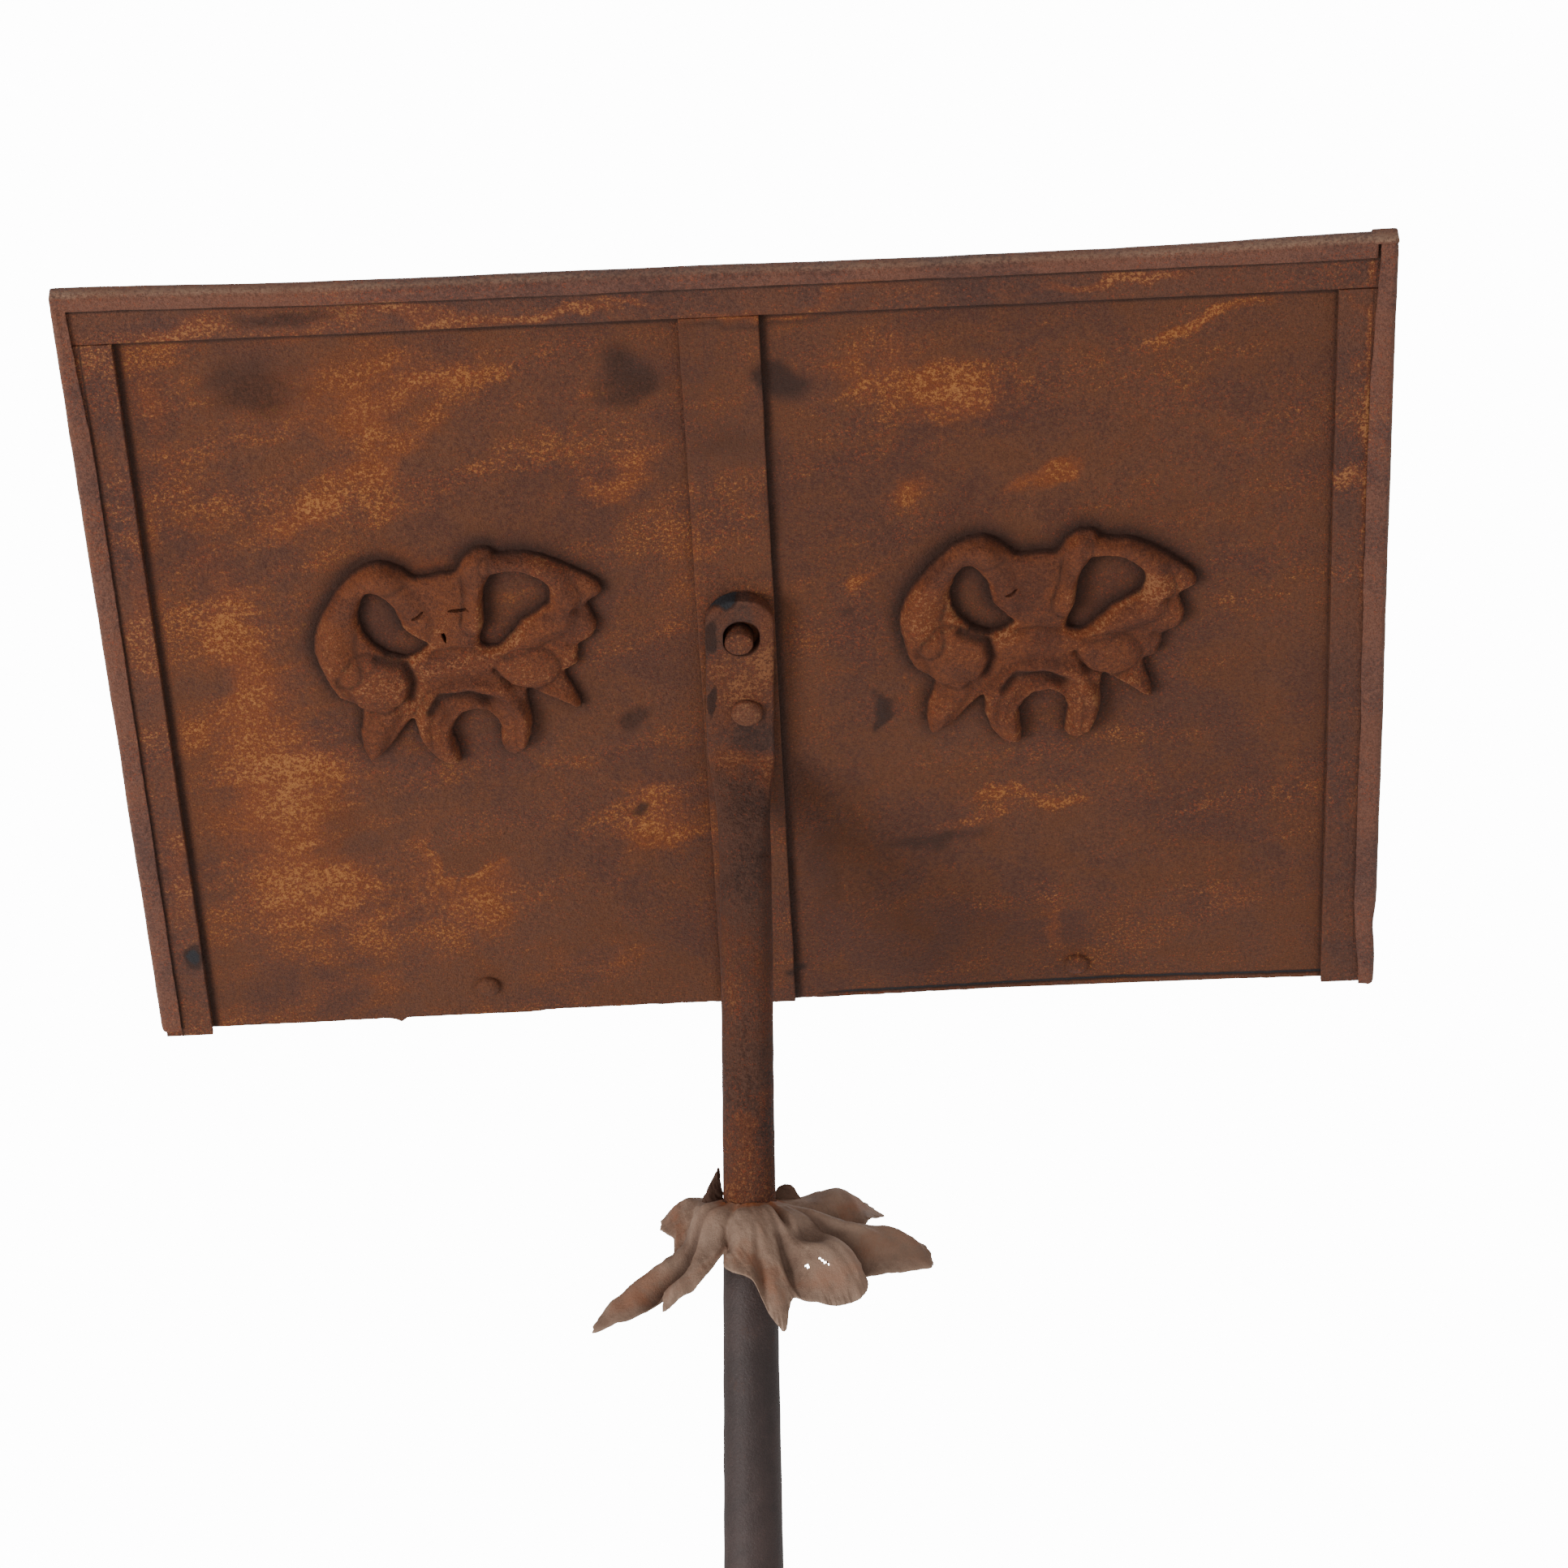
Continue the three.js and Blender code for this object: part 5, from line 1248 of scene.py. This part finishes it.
def leaf_stain_and_shading(bearing, u, hollow, proud):
    """Rust by the rod and in the fold; painted shade in the hollows, darker toward the rim; painted highlight on the
    crowns; paler along the torn rim.
    """
    warm = 0.8 * (1 - smooth(u, 0.02, 0.12)) + 0.9 * np.exp(-((bearing - 309) / 7) ** 2 - ((u - 0.12) / 0.1) ** 2)
    warm = warm + 0.25 * fbm(bearing / 14, u * 4, 821)
    warm = warm + 0.4 * smooth(u, 0.5, 0.75) * (1 - smooth(u, 0.84, 0.97)) * (0.6 + 0.9 * fbm(bearing / 20, u * 3, 823))
    dark = 0.62 * hollow + 0.25 * smooth(u, 0.5, 1.0) * (0.5 + fbm(bearing / 10, u * 5, 822))
    pale = 0.7 * proud + 0.5 * smooth(u, 0.965, 1.0) + 0.3 * np.exp(-((u - 0.3) / 0.12) ** 2)
    return np.stack([np.clip(warm, 0, 1), np.clip(dark, 0, 1), np.clip(pale, 0, 1)], -1)


def make_leaf():
    around, outward = 720, 46
    bearing = (np.arange(around) / around * 360)[None, :] + np.zeros((outward + 1, 1))
    u = (np.arange(outward + 1) / outward)[:, None] + 0 * bearing
    points, hollow, proud = leaf_surface(bearing, u)
    thick = 0.55 + 0.3 * (1 - u)
    under = points - np.stack([0 * u, 0 * u, thick], -1)
    shades = leaf_stain_and_shading(bearing, u, hollow, proud)
    top, under = np.concatenate([points, shades], -1), np.concatenate([under, shades], -1)
    keep = np.ones((outward, around), bool)
    for at, reach, wide, long, skew in ((302.5, 0.70, 0.8, 0.024, 14), (309.0, 0.70, 0.55, 0.045, 24)):
        db = bearing[:-1] - at - skew * (u[:-1] - reach)
        du = u[:-1] - reach
        keep &= ~((np.abs(db) / wide) ** 2 + (du / long) ** 2 < 1)
    verts, faces = slab(top, under, keep, closed=True)
    piece("leaf_collar_torn", verts[:, :3], faces, "stand", ["leaf_collar"], LEAF_DUST, sharp=60,
          stain_and_shading=lambda points: verts[:, 3:])


def make_flap(name, base0, base1, tip, bulge, shade, blunt):
    """A scrap of the leaf standing up beside the rod, pointed or rounded."""
    base0, base1, tip = (np.array(p, float) for p in (base0, base1, tip))
    t = np.linspace(0, 1, 30)[:, None, None]
    s = np.linspace(-0.5, 0.5, 14)[None, :, None]
    width = np.sqrt(np.clip(1 - t**2, 0.0004, 1)) if blunt else 1.02 - t
    middle = (base0 + base1) / 2
    points = middle + (tip - middle) * t + (base1 - base0) * s * width
    points = points + np.array(bulge, float) * (np.cos(np.pi * s) * (1 - t) ** 0.6)
    points = points + 0.3 * np.stack([noise(t[..., 0] * 9 + s[..., 0] * 3, s[..., 0] * 4, k) for k in (811, 812, 813)], -1)
    normal = np.cross(base1 - base0, tip - base0)
    normal = normal / np.linalg.norm(normal)
    verts, faces = slab(points + [0, 0, SEAT], points + [0, 0, SEAT] + 0.5 * normal)
    piece(name, verts, faces, "stand", [], LEAF_DUST, sharp=60,
          stain_and_shading=lambda p: np.stack([0.2 + 0 * p[:, 0], shade + 0 * p[:, 0], 0 * p[:, 0]], 1))


make_leaf()
make_flap("leaf_spike", (-17.5, 7.5, 0.5), (-9.0, 10.5, -2.0), (-11.2, 11.0, 12.4), (-0.8, -1.2, 0), 0.95, False)
make_flap("leaf_tab", (9.0, 11, -1.5), (19.5, 9.5, -2.0), (13.6, 12.2, 6.0), (0, -1.0, 0.4), 0.6, True)


# ---- lower post and base ----
def smooth_profile(points, step):
    points = np.array(points, float)
    length = np.concatenate([[0], np.cumsum(np.hypot(*np.diff(points, axis=0).T))])
    count = max(2, int(length[-1] / step))
    at = np.linspace(0, length[-1], count)
    return list(zip(np.interp(at, length, points[:, 0]), np.interp(at, length, points[:, 1])))


bore = 6.28
seat_low = SEAT - 66 - GAP
shaft = smooth_profile([(18, 196), (14.6, 420), (11.6, 640), (9.95, 820), (9.55, SEAT - 4)], 6)
profile = [(0, 108), (10.2, 108), (11, 108.8), (11, 190.3), (17.2, 190.3), (18, 191)] + shaft + [
    (9.2, SEAT - 0.6), (8.6, SEAT - 0.1), (bore, SEAT - 0.1), (bore, seat_low), (0, seat_low)]
verts, faces = turned_solid(profile, 96, wobble=0.10, seed=901)
piece("lower_post_tapered", verts, faces, "stand", ["lower_post"], POST_PATINA, sharp=40)

ring_mid = 198.3
ring_profile = [(18.7, ring_mid - 7.6), (19, ring_mid - 8), (24.4, ring_mid - 8), (25, ring_mid - 7.2)]
ring_profile += [tuple(p) for p in arc(22, ring_mid, 5.6, -56, 56, 14)]
ring_profile += [(22.4, ring_mid + 7.4), (21.8, ring_mid + 8), (19, ring_mid + 8), (18.7, ring_mid + 7.6)]


def turned_ring(profile, segments, wobble, seed):
    inner = np.asarray(profile, float)
    angles = np.arange(segments) / segments * 2 * math.pi
    c, s = np.cos(angles), np.sin(angles)
    r = inner[:, :1] + wobble * noise(3 * c[None, :] + 4, 3 * s[None, :] + inner[:, 1:] / 6, seed)
    rings = np.stack([r * c, r * s, inner[:, 1:] + 0 * r], -1)
    rows, cols = rings.shape[:2]
    index = np.arange(rows * cols).reshape(rows, cols)
    after = np.roll(index, -1, 0)
    return rings.reshape(-1, 3), np.stack(
        [index, np.roll(index, -1, 1), np.roll(after, -1, 1), after], -1).reshape(-1, 4).tolist()


verts, faces = turned_ring(ring_profile, 96, 0.12, 911)
piece("post_ring_turned", verts, faces, "stand", ["post_ring"], BASE_PATINA, sharp=40)


def make_hub():
    size, cut, low, high = 25.0, 7.0, 122.0, 190.0
    k = size - cut
    corners = [(k, -size), (size, -k), (size, k), (k, size), (-k, size), (-size, k), (-size, -k), (-k, -size)]
    loop = resample(np.array(corners, float), 2.5)
    levels = [(low, 0.94), (low + 0.6, 0.985), (low + 1.6, 1.0)]
    levels += [(z, 1.0) for z in np.arange(low + 4, high - 3, 3)]
    levels += [(high - 1.6, 1.0), (high - 0.6, 0.985), (high, 0.94)]
    bore_ring = arc(0, 0, 11.3, 0, 360, len(loop))[:-1]
    bore_ring = bore_ring[np.argsort((np.degrees(np.arctan2(bore_ring[:, 1], bore_ring[:, 0]))) % 360)]
    start = int(np.argmin((np.degrees(np.arctan2(loop[:, 1], loop[:, 0]))) % 360))
    loop = np.roll(loop, -start, 0)
    rings = [np.column_stack([loop * scale, np.full(len(loop), z)]) for z, scale in levels]
    rings.append(np.column_stack([bore_ring, np.full(len(loop), high)]))
    rings.append(np.column_stack([bore_ring, np.full(len(loop), low)]))
    rings = np.array(rings)
    hammered = 0.25 * fbm(rings[..., 0] / 9 + rings[..., 1] / 9, rings[..., 2] / 9, 921)
    rings[2:-4, :, :2] *= (1 + hammered[2:-4] / size)[..., None]
    c, s = math.cos(math.pi / 4), math.sin(math.pi / 4)
    turned = rings.copy()
    turned[..., 0] = rings[..., 0] * c - rings[..., 1] * s
    turned[..., 1] = rings[..., 0] * s + rings[..., 1] * c
    rows, cols = turned.shape[:2]
    index = np.arange(rows * cols).reshape(rows, cols)
    after = np.roll(index, -1, 0)
    faces = np.stack([index, np.roll(index, -1, 1), np.roll(after, -1, 1), after], -1).reshape(-1, 4).tolist()
    piece("base_hub_forged", turned.reshape(-1, 3), faces, "stand", ["base_hub"], BASE_PATINA, sharp=35)


make_hub()

nut_top = 121.7
nut = [(0, nut_top - 46), (1.8, nut_top - 45.8), (3, nut_top - 45)]
nut += [tuple(p) for p in arc(0, nut_top - 28, 14, -72, 52, 20)]
nut += [(10.4, nut_top - 15), (11.2, nut_top - 13), (13, nut_top - 11.4), (18.6, nut_top - 9.6), (20, nut_top - 8.4),
        (20, nut_top - 0.8), (19.2, nut_top), (11.3, nut_top), (11.3, 107.7), (0, 107.7)]
verts, faces = turned_solid(nut, 72, wobble=0.08, seed=931)
piece("finial_nut_turned", verts, faces, "stand", ["finial_nut"], BASE_PATINA, sharp=40)


# ---- legs, rivets and pads ----
LEG_WIDE, LEG_THICK, REACH = 28.0, 8.0, 238.0
LEG_SEAT = 25.3
KNEE_TOP = 128.0
KNEE = 46.0
SCROLL = 17.0
FLOOR_LINE = 7.3 + LEG_THICK / 2


def leg_path():
    seat = LEG_SEAT + LEG_THICK / 2
    knee = arc(seat + KNEE, KNEE_TOP, KNEE, 180, 248, 26)
    foot = arc(REACH, FLOOR_LINE + SCROLL, SCROLL, 248, 270, 6)
    t = np.arange(1, 45) / 4
    a = np.radians(270 + 28 * t)
    r = SCROLL - 0.62 * t
    curl = np.stack([REACH + r * np.cos(a), FLOOR_LINE + SCROLL + r * np.sin(a)], 1)
    run = np.linspace(knee[-1], foot[0], 40)[1:-1]
    upright = np.stack([np.full(16, seat), np.linspace(190, KNEE_TOP, 17)[:-1]], 1)
    return np.concatenate([upright, knee, run, foot, curl])


def make_leg(i, bearing):
    path = leg_path()
    ahead = np.roll(path, -1, 0)
    behind = np.roll(path, 1, 0)
    ahead[-1], behind[0] = path[-1], path[0]
    d = ahead - behind
    d = d / np.hypot(*d.T)[:, None]
    normal = np.stack([-d[:, 1], d[:, 0]], 1)
    n = len(path)
    left = np.arange(n)
    taper = 1 - 0.25 * smooth(left, n - 16, n - 1)
    hammer = 0.18 * fbm(left / 5, 0.5 + 0 * left, 940 + i)
    half_w = LEG_WIDE / 2 + 0.25 * fbm(left / 6, 0.5 + 0 * left, 950 + i)
    half_t = (LEG_THICK / 2 + hammer * 0.5) * taper
    section = bar_section(-half_w, half_w, -half_t, half_t, 1.3, cells=6)
    y, t = section[..., 0], section[..., 1]
    t = t + 0.12 * fbm(left[:, None] / 4 + 0 * y, y / 7, 960 + i)
    x = path[:, :1] + normal[:, :1] * t
    z = path[:, 1:] + normal[:, 1:] * t
    c, s = math.cos(math.radians(bearing)), math.sin(math.radians(bearing))
    verts, faces = skin(np.stack([x * c - y * s, x * s + y * c, z], -1))
    piece(f"leg_{i}_scrolled", verts, faces, "stand", [f"leg_{i}"], BASE_PATINA, sharp=40)
    for k, height in enumerate((176.0, 150.0), 1):
        a = np.radians(np.linspace(0, 84, 9))
        face = LEG_THICK + 0.1
        crown = [(6.8 * math.cos(q) ** 0.8, face + 0.7 + 3.2 * math.sin(q)) for q in a]
        rv, rf = turned_solid([(0, -5), (3.1, -5), (3.1, face), (6.7, face)] + crown + [(0, face + 3.9)], 40)
        rv[:, 2] += smooth(rv[:, 2], face, face + 3) * 0.3 * fbm(rv[:, 0] / 3, rv[:, 1] / 3, 970 + i * 2 + k)
        px, py, pz = rv[:, 2] + LEG_SEAT, rv[:, 1], -rv[:, 0] + height
        rv = np.stack([px * c - py * s, px * s + py * c, pz], 1)
        piece(f"leg_rivet_{i}_{k}_domed", rv, rf, "stand", [f"leg_rivet_{i}_{k}"], BASE_PATINA)
    pad = [(0, 0), (17.6, 0), (18.7, 0.8), (19, 1.8), (19, 4.6), (18.2, 6.2), (16.8, 7), (3.1, 7), (3.1, 16.9),
           (4.7, 16.9), (4.9, 17.5), (3.9, 18.4), (0, 18.7)]
    pv, pf = turned_solid(pad, 64, wobble=0.05, seed=990 + i)
    pv[:, 2] = np.maximum(pv[:, 2], 0)
    pv = pv + [REACH * c, REACH * s, 0]
    piece(f"foot_pad_{i}_turned", pv, pf, "stand", [f"foot_pad_{i}"], BASE_PATINA)


for i in range(1, 5):
    make_leg(i, 45 + (i - 1) * 90)


# ---- camera, floor and light ----
def view_matrix(place, yaw, pitch, roll):
    yaw, pitch, roll = (math.radians(a) for a in (yaw, pitch, roll))
    ahead = Vector((math.sin(yaw) * math.cos(pitch), math.cos(yaw) * math.cos(pitch), math.sin(pitch)))
    right = Vector((math.cos(yaw), -math.sin(yaw), 0))
    up = right.cross(ahead)
    right2 = right * math.cos(roll) + up * math.sin(roll)
    up2 = up * math.cos(roll) - right * math.sin(roll)
    back = -ahead
    return Matrix((
        (right2.x, up2.x, back.x, place[0]),
        (right2.y, up2.y, back.y, place[1]),
        (right2.z, up2.z, back.z, place[2]),
        (0, 0, 0, 1),
    ))


scene = bpy.context.scene
camera_data = bpy.data.cameras.new("camera")
camera_data.lens = 131.6
camera_data.sensor_width = 36
camera_data.clip_end = 60
camera = bpy.data.objects.new("camera", camera_data)
camera.matrix_world = view_matrix((-0.0178, -2.0809, 1.0497), 0.885, -1.292, -0.673)
scene.collection.objects.link(camera)
scene.camera = camera


def floor_disc(radius, segments=128):
    mesh = bpy.data.meshes.new("studio_floor")
    points = [(radius * math.cos(a), radius * math.sin(a), 0) for a in np.arange(segments) / segments * 2 * math.pi]
    mesh.from_pydata(points, [], [list(range(segments))])
    s = Shader("floor_paper")
    tone = s.noise(3, 3, 0.5)
    colour = s.mix(s.span(tone, 0.3, 0.7), (0.80, 0.80, 0.79, 1), (0.83, 0.83, 0.82, 1))
    mesh.materials.append(s.finish(colour, 0.9, s.bump(s.noise(900, 2, 0.5), 0.0002), 0.0, 0.2))
    disc = bpy.data.objects.new("studio_floor", mesh)
    disc.location = (0, 0, -0.0005)
    scene.collection.objects.link(disc)


floor_disc(4.0)

world = bpy.data.worlds.new("studio")
scene.world = world
world.use_nodes = True
tree = world.node_tree
tree.nodes.clear()
out = tree.nodes.new("ShaderNodeOutputWorld")
lit = tree.nodes.new("ShaderNodeBackground")
lit.inputs["Color"].default_value = (1.0, 1.0, 1.0, 1)
lit.inputs["Strength"].default_value = 0.72
seen = tree.nodes.new("ShaderNodeBackground")
seen.inputs["Color"].default_value = (1, 1, 1, 1)
seen.inputs["Strength"].default_value = 14.0
path = tree.nodes.new("ShaderNodeLightPath")
pick = tree.nodes.new("ShaderNodeMixShader")
tree.links.new(path.outputs["Is Camera Ray"], pick.inputs[0])
tree.links.new(lit.outputs[0], pick.inputs[1])
tree.links.new(seen.outputs[0], pick.inputs[2])
tree.links.new(pick.outputs[0], out.inputs["Surface"])


def area_light(name, place, target, size, power, colour=(1, 1, 1)):
    data = bpy.data.lights.new(name, "AREA")
    data.shape = "DISK"
    data.size = size
    data.energy = power
    data.color = colour
    obj = bpy.data.objects.new(name, data)
    obj.location = place
    obj.rotation_euler = (Vector(target) - Vector(place)).to_track_quat("-Z", "Y").to_euler()
    scene.collection.objects.link(obj)


area_light("key", (-1.7, -1.4, 0.3), (0, 0, 1.0), 1.0, 44)
area_light("fill", (1.2, -2.2, 1.2), (0, 0, 0.9), 1.6, 6)
area_light("reader_side", (0.8, 2.0, 2.2), (0, 0, 0.9), 1.4, 26)
